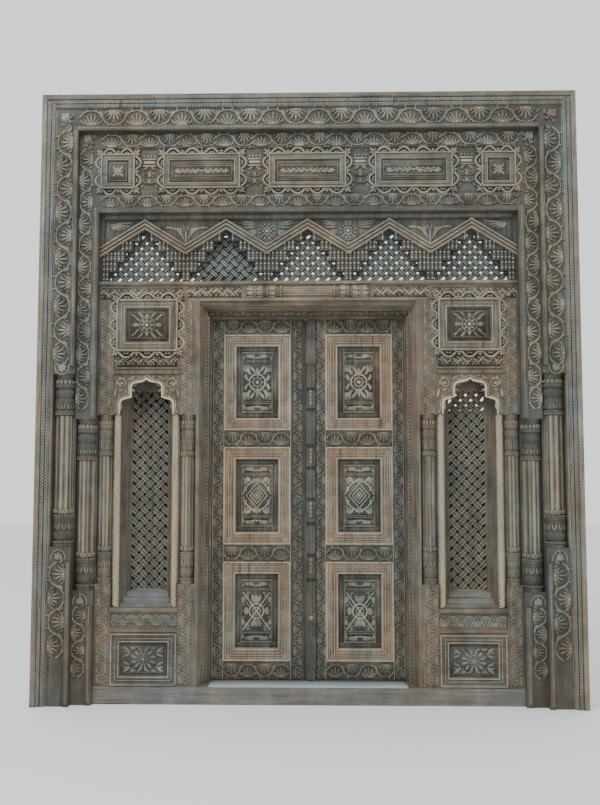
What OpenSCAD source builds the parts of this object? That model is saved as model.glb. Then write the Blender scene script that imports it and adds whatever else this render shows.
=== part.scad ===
// Carved wooden portal: a two-leaf door in a frame of carved posts, bands, side windows and a lattice row.
// X runs across the front, Y runs from the front (-) to the back (+), Z is up from the floor.
// A depth given below is always measured back from the front-most face, the fillet of the outer frame.

/* [Overall] */
// Width over the outer frame
portal_w = 3050; // [2900:10:3700]
// Height from the floor to the top of the frame
portal_h = 3450; // [2880:10:4200]
// Depth from the front fillet to the back of the main posts
portal_d = 300; // [290:5:380]

/* [Outer frame] */
// Width of the plain outer fillet
fillet_w = 27; // [18:1:45]
// Width of the hollow (cove) inside the fillet
cove_w = 57; // [40:1:80]
// Depth of the cove at its inner edge
cove_depth = 32; // [20:1:45]
// Thickness of the outer frame and the outer posts
outer_thick = 150; // [110:5:180]

/* [Vine bands] */
// Width of the outer post and its head board
band1_w = 125; // [110:1:160]
// Width of the bead strip on the inner edge of the outer band
strip1_w = 28; // [18:1:40]
// Width of the inner post
band2_w = 118; // [104:1:150]
// Height of the inner head board
head2_h = 93; // [70:1:130]
// Width of the bead strip on the inner edge of the inner post
strip2_w = 38; // [20:1:45]

/* [Frieze] */
// Height of the frieze with the moulded panels
frieze_h = 272; // [250:1:340]
// Height of the panel frames in the frieze
frieze_panel_h = 206; // [170:1:230]
// Width of the two square end panels
square_panel_w = 198; // [160:1:230]
// Gap between neighbouring frieze panels
frieze_gap = 162; // [120:1:200]
// Gap from the inner post to the end panel
frieze_margin = 6; // [4:1:30]
// Height of the carved vine rail under the frieze
vine_rail_h = 78; // [60:1:110]
// Height of the bead strip under the vine rail
strip3_h = 28; // [18:1:40]

/* [Lattice row] */
// Height of the row from the lintel to the vine rail
lattice_h = 393; // [350:1:460]
// Number of peaks in the zigzag
peak_count = 5; // [3:2:7]
// Rise of the zigzag from a valley to a peak
zig_rise = 147; // [110:1:165]
// Upright thickness of the zigzag moulding
zig_thick = 59; // [45:1:70]
// Height of the straight moulding over the zigzag
top_mould_h = 30; // [20:1:40]
// Number of hanging tiers in the stepped corbels
tier_count = 5; // [4:1:6]
// Half width of the lowest tier
tier_first = 23; // [18:1:34]
// Opening whose lattice is not pierced, counted from the left, 0 for none
blind_opening = 2; // [0:1:5]

/* [Lintel] */
// Height of the lintel beam
lintel_h = 115; // [90:1:140]
// Half length of the turned column on the lintel
lintel_column_half = 352; // [280:1:420]
// Radius of the turned column on the lintel
lintel_column_r = 40; // [30:1:44]

/* [Doorway] */
// Clear width between the jambs
door_w = 1120; // [1000:10:1240]
// Height of the moulded head over the door
door_head_h = 87; // [70:1:110]
// Width of the stepped jamb moulding
jamb_w = 56; // [45:1:70]
// Height of the threshold beam
threshold_h = 95; // [80:1:130]
// Depth at which the front of the door leaves lies
leaf_front = 235; // [225:1:240]
// Thickness of a door leaf
leaf_t = 45; // [38:1:48]
// Clearance round the edges of a closed leaf
leaf_gap = 5; // [3:0.5:8]
// Joint between the two leaves
meeting_gap = 5; // [4:0.5:7]
// Sideways place of the joint between the leaves
meeting_x = -15; // [-20:1:-12]
// Width of a hanging stile up to its heel centre
hanging_stile_w = 77; // [60:1:95]
// Place of the inner edge of both meeting stiles
meeting_stile_x = 103; // [95:1:120]
// Height of a rail between two panels
mid_rail_h = 97; // [80:1:115]
// Diameter of the wooden pintles
pintle_d = 30; // [24:1:34]
// Length of each pintle in its socket
pintle_len = 40; // [30:1:45]
// Clearance round a pintle
pintle_fit = 0.5; // [0.3:0.1:1]
// Width of the astragal
astragal_w = 57; // [45:1:60]
// Thickness of the astragal
astragal_t = 20; // [14:1:26]

/* [Side bays] */
// Width of the outer column of a bay
column_outer_w = 90; // [80:1:104]
// Width of the inner column of a bay with its edge strip
column_inner_w = 114; // [100:1:130]
// Height of the lower panel
lower_panel_h = 293; // [240:1:340]
// Height of the apron rail
apron_h = 138; // [120:1:160]
// Height of the sloping window sill
sill_h = 82; // [60:1:110]
// Height of the upper panel board
upper_board_h = 392; // [360:1:440]
// Height of the arch board
arch_board_h = 262; // [240:1:300]
// Half width of the clear window opening
window_half = 106; // [96:1:116]
// Thickness of the lattices
lattice_t = 23; // [16:1:26]
// Spacing of the lattice holes
hole_pitch = 43; // [38:1:52]
// Side of a square lattice hole
hole_side = 11; // [8:1:14]
// Thickness of the boards behind the windows
back_board_t = 18; // [12:1:30]
// Height that the right back board leaves open at its top
back_board_drop = 190; // [0:5:300]

/* [Hidden] */
$fn = 48;

// Colours of the timber
DARK_WOOD = [0.30, 0.24, 0.19];
MID_WOOD = [0.40, 0.33, 0.26];
PALE_WOOD = [0.52, 0.44, 0.33];
GREY_WOOD = [0.38, 0.38, 0.36];
IRON = [0.62, 0.62, 0.60];

// Depths behind the front-most face
cove_front = 8;          // front edge of the cove
strip1_front = 8;        // bead strip of the outer post
band1_front = 20;        // carved ground of the outer post
strip2_front = 42;       // bead strips of the inner post and vine rail
band2_front = 52;        // carved ground of the inner post and vine rail
frieze_front = 62;       // ground of the frieze
frieze_back = 130;
frieze_frame_front = 40; // face of the frieze panels
threshold_front = 72;
ledge_front = 80;
column_front = 85;       // boards of the bay columns
column_back = 170;
bead_front = 86;         // bead under the lintel
bay_front = 95;          // ground of the bays and the lintel
bay_back = 150;
zig_front = 78;
spandrel_front = 105;
corbel_plate_front = 128;
upper_lattice_front = 150;
window_frame_front = 115;
reveal_back = 205;
window_lattice_front = 222;
window_frame_back = 262;
jamb_stop = leaf_front - 3;

// Half widths, from the outside in
frame_w = fillet_w + cove_w;
half_w = portal_w / 2;
x_frame = half_w - frame_w;
x_band1 = x_frame - band1_w;
x_field = x_band1 - band2_w;
x_clear = door_w / 2;
x_jamb = x_clear + jamb_w;
x_column_in = x_jamb + column_inner_w;
x_column_out = x_field - column_outer_w;
bay_half = (x_column_out - x_column_in) / 2;
bay_x = (x_column_out + x_column_in) / 2;

// Heights, from the top down
z_frame = portal_h - frame_w;
z_band1 = z_frame - band1_w;
z_frieze_top = z_band1 - head2_h;
z_frieze = z_frieze_top - frieze_h;
z_strip3 = z_frieze - vine_rail_h;
z_row_top = z_strip3 - strip3_h;
z_row = z_row_top - lattice_h;
z_lintel = z_row - lintel_h;
z_door_top = z_lintel - door_head_h;
z_upper_board = z_lintel - upper_board_h;
z_arch = z_upper_board - arch_board_h;
z_apron = threshold_h + lower_panel_h;
z_sill = z_apron + apron_h;
z_window = z_sill + sill_h;
ledge_h = 24;            // ledge along the top of the lintel

// Zigzag
zig_end = 23;            // extra length of the zigzag past its last valley
field_w = 2 * x_field;
zig_pitch = (field_w - 2 * zig_end) / peak_count;
zig_slope = 2 * zig_rise / zig_pitch;
z_peak = z_row_top - top_mould_h;
peak_last = (peak_count - 1) / 2;
tier_h = (z_peak - zig_thick - 4 - z_row) / tier_count;
tier_narrow = 28;        // half width of the opening at its top tier
tier_step = (zig_pitch / 2 - tier_narrow - tier_first) / (tier_count - 1);

// Door leaves
leaf_mid = leaf_front + leaf_t / 2;
heel_x = x_clear + 10;
heel_r = leaf_t / 2;
rebate_x = heel_x + heel_r + 15;
z_leaf = threshold_h + leaf_gap;
z_leaf_top = z_door_top + 10;
z_rebate = z_leaf_top + leaf_gap;
x_stile = heel_x - hanging_stile_w;
top_rail_h = z_leaf_top - z_door_top + 85;
bottom_rail_h = 101;
leaf_panel_h = (z_leaf_top - z_leaf - top_rail_h - bottom_rail_h - 2 * mid_rail_h) / 3;
leaf_panel_w = x_stile - meeting_stile_x;
joint_cover = meeting_gap - 1.5;  // part of the joint that the astragal's edge covers
z_stud = z_leaf + 350;
head_scale = (door_head_h - 12) / jamb_w;

// Turned lengths of the posts: floor block, capital top, turned radius
post1_block = 868;
post1_cap = z_lintel - 426;
post2_block = 624;
post2_cap = z_lintel - 679;
column_block = 657;
column_cap = z_arch;

// Distance y for a depth behind the front
function y(depth) = depth - portal_d / 2;

// Points on an arc, from angle a0 to a1
function arc(cx, cy, r, a0, a1, n) =
  [for (i = [0 : n]) [cx + r * cos(a0 + (a1 - a0) * i / n), cy + r * sin(a0 + (a1 - a0) * i / n)]];

// Points along an upright length that swells by s at its middle
function swell(r0, r1, z0, z1, s, n) =
  [for (i = [0 : n]) [r0 + (r1 - r0) * i / n + s * sin(180 * i / n), z0 + (z1 - z0) * i / n]];

// Keeps a piece on the right (side 1) or mirrors it to the left (side -1)
module on_side(side) {
  if (side > 0) children();
  else mirror([1, 0, 0]) children();
}

// Plain block between two corners given as [x, depth, z]
module block(a, b) {
  translate([a[0], y(a[1]), a[2]]) cube([b[0] - a[0], b[1] - a[1], b[2] - a[2]]);
}

// Outline of [depth, z] points run along X
module run_x(outline, x0, x1) {
  translate([x0, 0, 0]) rotate([90, 0, 90]) linear_extrude(x1 - x0)
    polygon([for (p = outline) [y(p[0]), p[1]]]);
}

// Outline of [x, depth] points run up Z
module run_z(outline, z0, z1) {
  translate([0, 0, z0]) linear_extrude(z1 - z0)
    polygon([for (p = outline) [p[0], y(p[1])]]);
}

// Outline of [x, z] children run from one depth to another
module run_y(d0, d1) {
  translate([0, y(d1), 0]) rotate([90, 0, 0]) linear_extrude(d1 - d0) children();
}

// Rectangular hollow whose walls follow [inset, depth] steps, centred on x, z
module stepped_hollow(x, z, w, h, steps) {
  last = len(steps) - 1;
  intersection() {
    run_z(concat([for (s = steps) [x - w / 2 + s[0], s[1]]],
                 [for (i = [last : -1 : 0]) [x + w / 2 - steps[i][0], steps[i][1]]]),
          z - h / 2, z + h / 2);
    run_x(concat([for (s = steps) [s[1], z - h / 2 + s[0]]],
                 [for (i = [last : -1 : 0]) [steps[i][1], z + h / 2 - steps[i][0]]]),
          x - w / 2, x + w / 2);
  }
}

// Framed panel: a block with a stepped hollow and a raised field in it
module framed_panel(x, z, w, h, front, back, lip, band, drop, field_inset, field_rise) {
  difference() {
    block([x - w / 2, front, z - h / 2], [x + w / 2, back, z + h / 2]);
    stepped_hollow(x, z, w, h, [
      [lip, front - 1], [lip + 3, front + drop / 3], [band, front + drop / 3 + 1],
      [band + 8, front + drop]
    ]);
  }
  block([x - w / 2 + field_inset, front + drop - field_rise, z - h / 2 + field_inset],
        [x + w / 2 - field_inset, front + drop, z + h / 2 - field_inset]);
}

// Outline of a turned column with a base and a capital, as [radius, height]
function column_outline(z0, z1, r) = concat(
  [[0, z0], [r, z0], [r, z0 + 16]],
  swell(r * 0.86, r * 0.80, z0 + 22, z0 + 38, 0, 1),
  swell(r * 0.86, r * 0.84, z0 + 40, z0 + 88, r * 0.12, 6),
  swell(r * 0.80, r * 0.96, z0 + 92, z0 + 150, r * 0.05, 5),
  [[r, z0 + 154], [r, z0 + 164], [r * 0.90, z0 + 170], [r * 0.78, z0 + 178]],
  [[r * 0.78, z1 - 234], [r * 0.86, z1 - 228], [r, z1 - 222], [r, z1 - 208], [r * 0.84, z1 - 204]],
  swell(r * 0.84, r * 0.96, z1 - 202, z1 - 144, r * 0.05, 5),
  swell(r * 0.84, r * 0.84, z1 - 138, z1 - 84, r * 0.14, 6),
  [[r * 0.94, z1 - 80], [r, z1 - 76], [r, z1 - 56], [r * 0.82, z1 - 52]],
  swell(r * 0.82, r, z1 - 50, z1 - 4, -r * 0.08, 5),
  [[r, z1], [0, z1]]
);

// Post with a carved face above and below a turned half column
module turned_post(x0, x1, front, back, z_foot, z_block, z_cap, z_top, axis_x, r) {
  block([x0, front, z_foot], [x1, back, z_block]);
  block([x0, front, z_cap], [x1, back, z_top]);
  block([x0, front + r, z_block], [x1, back, z_cap]);
  intersection() {
    translate([axis_x, y(front + r), 0]) rotate_extrude() polygon(column_outline(z_block, z_cap, r));
    block([x0, front, z_block], [x1, back, z_cap]);
  }
}

// Section of the outer frame as [distance in from the outer edge, depth]
function frame_section() = concat(
  [[0, 0], [fillet_w, 0], [fillet_w, cove_front]],
  [for (i = [1 : 6]) [fillet_w + cove_w * sin(15 * i), cove_front + (cove_depth - cove_front) * (1 - cos(15 * i))]],
  [[frame_w, outer_thick], [0, outer_thick]]
);

// Side piece of the outermost frame, mitred into the head
module outer_stile(side) {
  color(MID_WOOD) on_side(side) intersection() {
    run_z([for (p = frame_section()) [half_w - p[0], p[1]]], 0, portal_h);
    run_y(0, outer_thick)
      polygon([[half_w, 0], [half_w, portal_h], [x_frame, z_frame], [x_frame, 0]]);
  }
}

// Top piece of the outermost frame
module outer_head() {
  color(MID_WOOD) intersection() {
    run_x([for (p = frame_section()) [p[1], portal_h - p[0]]], -half_w, half_w);
    run_y(0, outer_thick)
      polygon([[-half_w, portal_h], [half_w, portal_h], [x_frame, z_frame], [-x_frame, z_frame]]);
  }
}

// Outer vine post with its own turned half column; its top is mitred
module outer_post(side) {
  strip_x = x_band1 + strip1_w;
  axis_x = (x_band1 + x_frame) / 2;
  color(DARK_WOOD) on_side(side) intersection() {
    union() {
      turned_post(x_band1, x_frame, band1_front, outer_thick, 0, post1_block, post1_cap,
                  z_frame, axis_x, band1_w / 2 - 3);
      block([x_band1, strip1_front, 0], [strip_x, band1_front, post1_block - 82]);
      block([x_band1, strip1_front, post1_cap + 45], [strip_x, band1_front, z_frame]);
    }
    run_y(0, outer_thick)
      polygon([[x_band1, 0], [x_frame, 0], [x_frame, z_frame], [x_band1, z_band1]]);
  }
}

// Head board of the outer vine band
module outer_band_head() {
  color(DARK_WOOD) intersection() {
    union() {
      block([-x_frame, band1_front, z_band1], [x_frame, outer_thick, z_frame]);
      block([-x_frame, strip1_front, z_band1], [x_frame, band1_front, z_band1 + strip1_w]);
    }
    run_y(0, outer_thick)
      polygon([[-x_frame, z_frame], [x_frame, z_frame], [x_band1, z_band1], [-x_band1, z_band1]]);
  }
}

// Main post of the portal, with the inner vine band and a turned half column
module inner_post(side) {
  color(DARK_WOOD) on_side(side) {
    turned_post(x_field, x_band1, band2_front, portal_d, 0, post2_block, post2_cap, z_band1,
                (x_field + x_band1) / 2, band2_w / 2 - 3);
    block([x_field, strip2_front, 0], [x_field + strip2_w, band2_front, post2_block - 85]);
    block([x_field, strip2_front, post2_cap], [x_field + strip2_w, band2_front, z_strip3]);
  }
}

// Head board of the inner vine band, between the main posts
module inner_band_head() {
  color(DARK_WOOD) block([-x_field, band2_front, z_frieze_top], [x_field, portal_d, z_band1]);
}

// Board behind the frieze panels
module frieze_board() {
  color(MID_WOOD) block([-x_field, frieze_front, z_frieze], [x_field, frieze_back, z_frieze_top]);
}

// Widths and places of the five frieze panels
long_panel_w = (field_w - 2 * frieze_margin - 2 * square_panel_w - 4 * frieze_gap) / 3;
function frieze_panel_width(i) = (i == 0 || i == 4) ? square_panel_w : long_panel_w;
function frieze_panel_x(i) =
  (i == 0 || i == 4) ? (i - 2) / 2 * (x_field - frieze_margin - square_panel_w / 2)
                     : (i - 2) * (long_panel_w + frieze_gap);

// Moulded panel number i of the frieze, from the left
module frieze_panel(i) {
  x = frieze_panel_x(i);
  w = frieze_panel_width(i);
  z = (z_frieze + z_frieze_top) / 2;
  color(PALE_WOOD) difference() {
    framed_panel(x, z, w, frieze_panel_h, frieze_frame_front, frieze_front, 6, 32, 15, 48, 6);
    stepped_hollow(x, z, w - 20, frieze_panel_h - 20, [[6, frieze_frame_front], [9, frieze_frame_front + 8]]);
  }
  color(PALE_WOOD) difference() {
    block([x - w / 2 + 19, frieze_frame_front + 2, z - frieze_panel_h / 2 + 19],
          [x + w / 2 - 19, frieze_front, z + frieze_panel_h / 2 - 19]);
    block([x - w / 2 + 30, frieze_frame_front, z - frieze_panel_h / 2 + 30],
          [x + w / 2 - 30, frieze_front + 1, z + frieze_panel_h / 2 - 30]);
  }
}

// Carved beam between the frieze and the lattice row, with a bead strip under it
module vine_rail() {
  color(DARK_WOOD) run_x([
    [band2_front, z_frieze], [band2_front, z_strip3], [strip2_front, z_strip3],
    [strip2_front, z_row_top], [portal_d, z_row_top], [portal_d, z_frieze]
  ], -x_field, x_field);
}

// Height of the zigzag line through its peaks at a place x
function zig_z(x) =
  z_peak - zig_slope * abs(x - zig_pitch * round(min(max(x / zig_pitch, -peak_last), peak_last)));

// Corners of the zigzag from left to right, lowered by drop
function zig_points(drop) = concat(
  [[-x_field, zig_z(-x_field) - drop]],
  [for (i = [-2 * peak_last : 2 * peak_last]) [i * zig_pitch / 2, zig_z(i * zig_pitch / 2) - drop]],
  [[x_field, zig_z(x_field) - drop]]
);

function reversed(list) = [for (i = [len(list) - 1 : -1 : 0]) list[i]];

// Board with the carved triangles above the zigzag, and its straight top and side mouldings
module spandrel_board() {
  mould_w = 22;
  color(GREY_WOOD) {
    run_y(spandrel_front, corbel_plate_front)
      polygon(concat(zig_points(zig_thick), [[x_field, z_row_top], [-x_field, z_row_top]]));
    run_y(zig_front + 10, spandrel_front) difference() {
      polygon(concat(zig_points(zig_thick), [[x_field, z_row_top], [-x_field, z_row_top]]));
      polygon([[-x_field + mould_w, z_row], [x_field - mould_w, z_row],
               [x_field - mould_w, z_peak], [-x_field + mould_w, z_peak]]);
      polygon(concat(zig_points(zig_thick), reversed(zig_points(0))));
    }
  }
}

// Zigzag moulding with three ridges
module zigzag_moulding() {
  ridge = zig_thick / 5;
  color(PALE_WOOD) {
    run_y(zig_front + 12, spandrel_front)
      polygon(concat(zig_points(zig_thick), reversed(zig_points(0))));
    for (k = [0 : 2])
      run_y(zig_front, zig_front + 12)
        polygon(concat(zig_points((2 * k + 1) * ridge), reversed(zig_points(2 * k * ridge))));
  }
}

// Half width of tier k of a corbel, counted from the bottom
function tier_half(k) = tier_first + k * tier_step;

// Stepped outline of one opening of the row
module row_opening(x) {
  for (k = [0 : tier_count - 1]) {
    half = zig_pitch / 2 - tier_half(k);
    top = z_row + (k + 1) * tier_h - (k == tier_count - 1 ? tier_h / 3 : 0);
    translate([x - half, z_row + k * tier_h - (k == 0 ? 1 : 0)])
      square([2 * half, top - z_row - k * tier_h + (k == 0 ? 1 : 0)]);
  }
}

// Board with five stepped openings and hanging tiers that step back downwards
module corbel_board() {
  color(GREY_WOOD) {
    run_y(corbel_plate_front, upper_lattice_front) difference() {
      translate([-x_field, z_row]) square([field_w, lattice_h]);
      for (i = [-peak_last : peak_last]) row_opening(i * zig_pitch);
    }
    for (k = [0 : tier_count - 1]) {
      run_y(corbel_plate_front - 10 - 5 * k, corbel_plate_front) intersection() {
        polygon(concat(zig_points(zig_thick), [[x_field, z_row], [-x_field, z_row]]));
        for (i = [-peak_last - 1 : peak_last]) {
          middle = (i + 0.5) * zig_pitch;
          left = max(middle - tier_half(k), -x_field);
          right = min(middle + tier_half(k), x_field);
          translate([left, z_row + k * tier_h]) square([right - left, tier_h]);
        }
      }
    }
  }
}

// Diamond holes over a rectangle centred on x, z
module diamond_holes(x, z, w, h) {
  step = hole_pitch * sqrt(2) / 2;
  nx = floor((w / 2 - hole_side) / step);
  nz = floor((h / 2 - hole_side) / step);
  for (i = [-nx : nx], j = [-nz : nz])
    if ((i + j) % 2 == 0)
      translate([x + i * step, z + j * step]) rotate(45) square(hole_side, center = true);
}

// One long pierced board behind the five openings
module upper_lattice() {
  row_h = tier_count * tier_h;
  color(GREY_WOOD) run_y(upper_lattice_front, upper_lattice_front + lattice_t) difference() {
    translate([-x_field + 20, z_row]) square([field_w - 40, row_h]);
    for (i = [-peak_last : peak_last])
      if (i + peak_last + 1 != blind_opening) intersection() {
        diamond_holes(i * zig_pitch, z_row + row_h / 2, zig_pitch - 2 * tier_first, row_h);
        row_opening(i * zig_pitch);
      }
  }
}

// Main beam over the door and the bays, with a ledge above
module lintel() {
  bead_half = x_column_in - 40;
  color(DARK_WOOD) {
    run_x([
      [bay_front, z_lintel], [bay_front, z_row - ledge_h], [ledge_front, z_row - ledge_h + 6],
      [ledge_front, z_row], [portal_d, z_row], [portal_d, z_lintel]
    ], -x_field, x_field);
    block([-bead_half, bead_front, z_lintel], [bead_half, bay_front, z_lintel + 18]);
  }
}

// Turned half column laid along the face of the lintel, as [radius, distance from the middle]
function lintel_column_outline(l, r) = concat(
  [[0, -l], [r * 0.7, -l]],
  swell(r * 0.72, r * 0.95, -l + 2, -l + 42, r * 0.08, 4),
  [[r, -l + 44], [r, -l + 52]],
  swell(r * 0.80, r * 0.80, -l + 56, -l + 112, r * 0.18, 6),
  [[r, -l + 116], [r, -l + 126]],
  swell(r * 0.90, r * 0.78, -l + 130, -l + 190, r * 0.06, 4),
  [[r * 0.92, -l + 194], [r * 0.92, -l + 204], [r * 0.74, -l + 210]]
);

module lintel_column() {
  half = lintel_column_outline(lintel_column_half, lintel_column_r);
  outline = concat(half, [for (p = reversed(half)) [p[0], -p[1]]]);
  z_axis = z_lintel + 18 + (lintel_h - ledge_h - 18) / 2;
  color(PALE_WOOD) intersection() {
    translate([0, y(bay_front + 12), z_axis]) rotate([0, 90, 0]) rotate_extrude() polygon(outline);
    block([-lintel_column_half, 0, z_lintel + 18], [lintel_column_half, bay_front, z_row - ledge_h]);
  }
}

// Column of a bay next to the main post
module column_outer(side) {
  axis_x = (x_column_out + x_field) / 2;
  color(MID_WOOD) on_side(side)
    turned_post(x_column_out, x_field, column_front, column_back, threshold_h, column_block,
                column_cap, z_lintel, axis_x, column_outer_w / 2 - 2);
}

// Column of a bay next to the door, with a plain edge strip
module column_inner(side) {
  edge = 20;
  axis_x = (x_jamb + edge + x_column_in) / 2;
  color(MID_WOOD) on_side(side) {
    turned_post(x_jamb + edge, x_column_in, column_front, column_back, threshold_h, column_block,
                column_cap, z_lintel, axis_x, (column_inner_w - edge) / 2 - 2);
    block([x_jamb, column_front, threshold_h], [x_jamb + edge, column_back, z_lintel]);
  }
}

// Board over a window with its moulded panel
module upper_panel(side) {
  frame_h = 305;
  frame_half = bay_half - 10;
  z_frame_mid = z_lintel - 140;
  color(MID_WOOD) on_side(side) {
    block([bay_x - bay_half, bay_front, z_upper_board], [bay_x + bay_half, bay_back, z_lintel]);
    block([bay_x - bay_half, ledge_front + 2, z_upper_board], [bay_x + bay_half, bay_front, z_upper_board + 10]);
    framed_panel(bay_x, z_frame_mid, 2 * frame_half, frame_h, ledge_front - 8, bay_front, 14, 52, 16, 72, 9);
  }
}

// Half outline of the cusped arch, as [distance from the middle, height over the board's foot]
function arch_half(u_out, u_in, h) = concat(
  [[u_out, 0]],
  arc(u_out - 38, 54, 38, 0, 90, 6),
  [[u_in - 2, 100]],
  arc(u_in - 34, h - 56, 34, 0, 80, 6),
  [[u_in * 0.33, h - 18], [u_in * 0.12, h - 12], [0, h]]
);

// Board with a cusped arch over the window
module arch_board(side) {
  half = arch_half(bay_half - 39, window_half - 20, 206);
  mould_h = 33;
  color(MID_WOOD) on_side(side) {
    run_y(column_front + 3, window_frame_front) difference() {
      translate([bay_x - bay_half, z_arch]) square([2 * bay_half, arch_board_h - mould_h]);
      translate([bay_x, z_arch - 1]) polygon(concat(half, [for (p = reversed(half)) [-p[0], p[1]]]));
    }
    run_x([
      [column_front + 3, z_upper_board - mould_h], [ledge_front - 4, z_upper_board - mould_h + 6],
      [ledge_front - 4, z_upper_board - 12], [column_front + 3, z_upper_board - 6],
      [column_front + 3, z_upper_board], [window_frame_front, z_upper_board],
      [window_frame_front, z_upper_board - mould_h]
    ], bay_x - bay_half, bay_x + bay_half);
  }
}

// Splayed reveal of a window as half width at a depth
reveal_front_half = bay_half - 41;
reveal_back_half = window_half + 6;

// Frame of a window: two stiles with a round rope bar each, a head and a bottom rail
module window_frame(side) {
  top = z_upper_board;
  rail_z = z_upper_board - 114;
  rope_r = 16;
  color(MID_WOOD) on_side(side) {
    for (hand = [-1, 1]) {
      run_z([
        [bay_x + hand * bay_half, window_frame_front],
        [bay_x + hand * reveal_front_half, window_frame_front],
        [bay_x + hand * reveal_front_half, window_frame_front + 12],
        [bay_x + hand * reveal_back_half, reveal_back],
        [bay_x + hand * window_half, reveal_back],
        [bay_x + hand * window_half, window_lattice_front],
        [bay_x + hand * (window_half + 10), window_lattice_front],
        [bay_x + hand * (window_half + 10), window_frame_back],
        [bay_x + hand * bay_half, window_frame_back]
      ], z_sill, top);
      translate([bay_x + hand * (bay_half - 24), y(window_frame_front - 4), z_sill])
        cylinder(r = rope_r, h = z_arch - z_sill);
    }
    block([bay_x - window_half - 10, reveal_back, rail_z], [bay_x + window_half + 10, window_lattice_front, top]);
    block([bay_x - window_half - 10, window_lattice_front, rail_z + 10],
          [bay_x + window_half + 10, window_frame_back, top]);
    block([bay_x - window_half - 10, window_lattice_front, z_sill],
          [bay_x + window_half + 10, window_frame_back, z_window - 10]);
  }
}

// Pierced lattice of a window, set in the rebate of its frame
module window_lattice(side) {
  fit = 0.3;
  z0 = z_window - 10;
  z1 = z_upper_board - 104;
  color(GREY_WOOD) on_side(side) run_y(window_lattice_front, window_lattice_front + lattice_t) difference() {
    translate([bay_x - window_half - 10 + fit, z0]) square([2 * (window_half + 10 - fit), z1 - z0]);
    diamond_holes(bay_x, (z0 + z1) / 2, 2 * window_half, z1 - z0 - 20);
  }
}

// Plain board that closes a window from behind; the right one stops short of the top
module window_back_board(side) {
  lap = 40;
  top = z_upper_board - lap - (side > 0 ? back_board_drop : 0);
  color(GREY_WOOD) on_side(side)
    block([bay_x - window_half - lap, window_frame_back, z_sill + lap / 2],
          [bay_x + window_half + lap, window_frame_back + back_board_t, top]);
}

// Sloping stepped sill in the splayed reveal
module window_sill(side) {
  fit = 0.3;
  foot = window_frame_front + 12;
  color(GREY_WOOD) on_side(side) intersection() {
    run_x([
      [window_lattice_front, z_sill], [window_lattice_front, z_window - 4], [reveal_back, z_window - 4],
      [reveal_back - 14, z_window - 12], [reveal_back - 17, z_sill + sill_h * 0.56],
      [reveal_back - 40, z_sill + sill_h * 0.52], [reveal_back - 45, z_sill + sill_h * 0.2],
      [foot, z_sill + sill_h * 0.1], [foot, z_sill]
    ], bay_x - bay_half, bay_x + bay_half);
    run_z([
      [bay_x - reveal_front_half + fit, foot], [bay_x + reveal_front_half - fit, foot],
      [bay_x + reveal_back_half - fit, reveal_back], [bay_x + window_half - fit, reveal_back],
      [bay_x + window_half - fit, window_lattice_front], [bay_x - window_half + fit, window_lattice_front],
      [bay_x - window_half + fit, reveal_back], [bay_x - reveal_back_half + fit, reveal_back]
    ], z_sill, z_window);
  }
}

// Rail under the window with a ledge above and below its carved frieze
module apron_rail(side) {
  top_ledge = 28;
  low_ledge = 28;
  color(DARK_WOOD) on_side(side) run_x([
    [ledge_front + 8, z_apron], [ledge_front + 2, z_apron + 6], [ledge_front + 2, z_apron + low_ledge - 6],
    [bay_front, z_apron + low_ledge], [bay_front, z_sill - top_ledge], [ledge_front - 4, z_sill - top_ledge + 6],
    [ledge_front - 4, z_sill], [window_frame_back, z_sill], [window_frame_back, z_apron]
  ], bay_x - bay_half, bay_x + bay_half);
}

// Moulded panel under the window
module lower_panel(side) {
  color(MID_WOOD) on_side(side)
    framed_panel(bay_x, threshold_h + lower_panel_h / 2, 2 * bay_half, lower_panel_h,
                 ledge_front + 4, bay_back, 16, 52, 16, 72, 9);
}

// Stepped section of the door surround, as [distance out from the clear opening, depth]
function surround_section() = [
  [0, jamb_stop], [0, 200], [jamb_w * 0.18, 200], [jamb_w * 0.18, 156], [jamb_w * 0.64, 150],
  [jamb_w * 0.64, 138], [jamb_w * 0.80, 126], [jamb_w * 0.80, 112], [jamb_w, 98], [jamb_w, jamb_stop]
];

// Side of the door surround with the rebate that the leaf's heel turns in
module jamb(side) {
  mitre_top = z_door_top + jamb_w * head_scale;
  color(MID_WOOD) on_side(side) {
    intersection() {
      run_z([for (p = surround_section()) [x_clear + p[0], p[1]]], threshold_h, z_lintel);
      run_y(bay_front, jamb_stop) polygon([
        [x_clear, threshold_h], [x_jamb, threshold_h], [x_jamb, mitre_top], [x_clear, z_door_top]
      ]);
    }
    block([x_jamb, column_back, threshold_h], [x_column_in, portal_d, z_lintel]);
    block([rebate_x, jamb_stop, threshold_h], [x_jamb, portal_d, z_lintel]);
  }
}

// Head of the door surround; the upper pintles turn in it
module door_head() {
  mitre_top = z_door_top + jamb_w * head_scale;
  color(MID_WOOD) difference() {
    union() {
      intersection() {
        run_x([for (p = surround_section()) [p[1], z_door_top + p[0] * head_scale]], -x_jamb, x_jamb);
        run_y(bay_front, jamb_stop) polygon([
          [-x_clear, z_door_top], [x_clear, z_door_top], [x_jamb, mitre_top], [-x_jamb, mitre_top]
        ]);
      }
      block([-x_jamb, bay_front + 3, mitre_top], [x_jamb, jamb_stop, z_lintel]);
      block([-rebate_x, jamb_stop, z_rebate], [rebate_x, portal_d, z_lintel]);
    }
    for (side = [-1, 1])
      translate([side * heel_x, y(leaf_mid), z_rebate - 1])
        cylinder(d = pintle_d + 2 * pintle_fit, h = pintle_len + 2);
  }
}

// Threshold beam; the lower pintles stand in it
module threshold() {
  color(GREY_WOOD) difference() {
    block([-x_field, threshold_front, 0], [x_field, portal_d, threshold_h]);
    for (side = [-1, 1])
      translate([side * heel_x, y(leaf_mid), threshold_h - pintle_len - 1])
        cylinder(d = pintle_d + 2 * pintle_fit, h = pintle_len + 2);
  }
}

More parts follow.
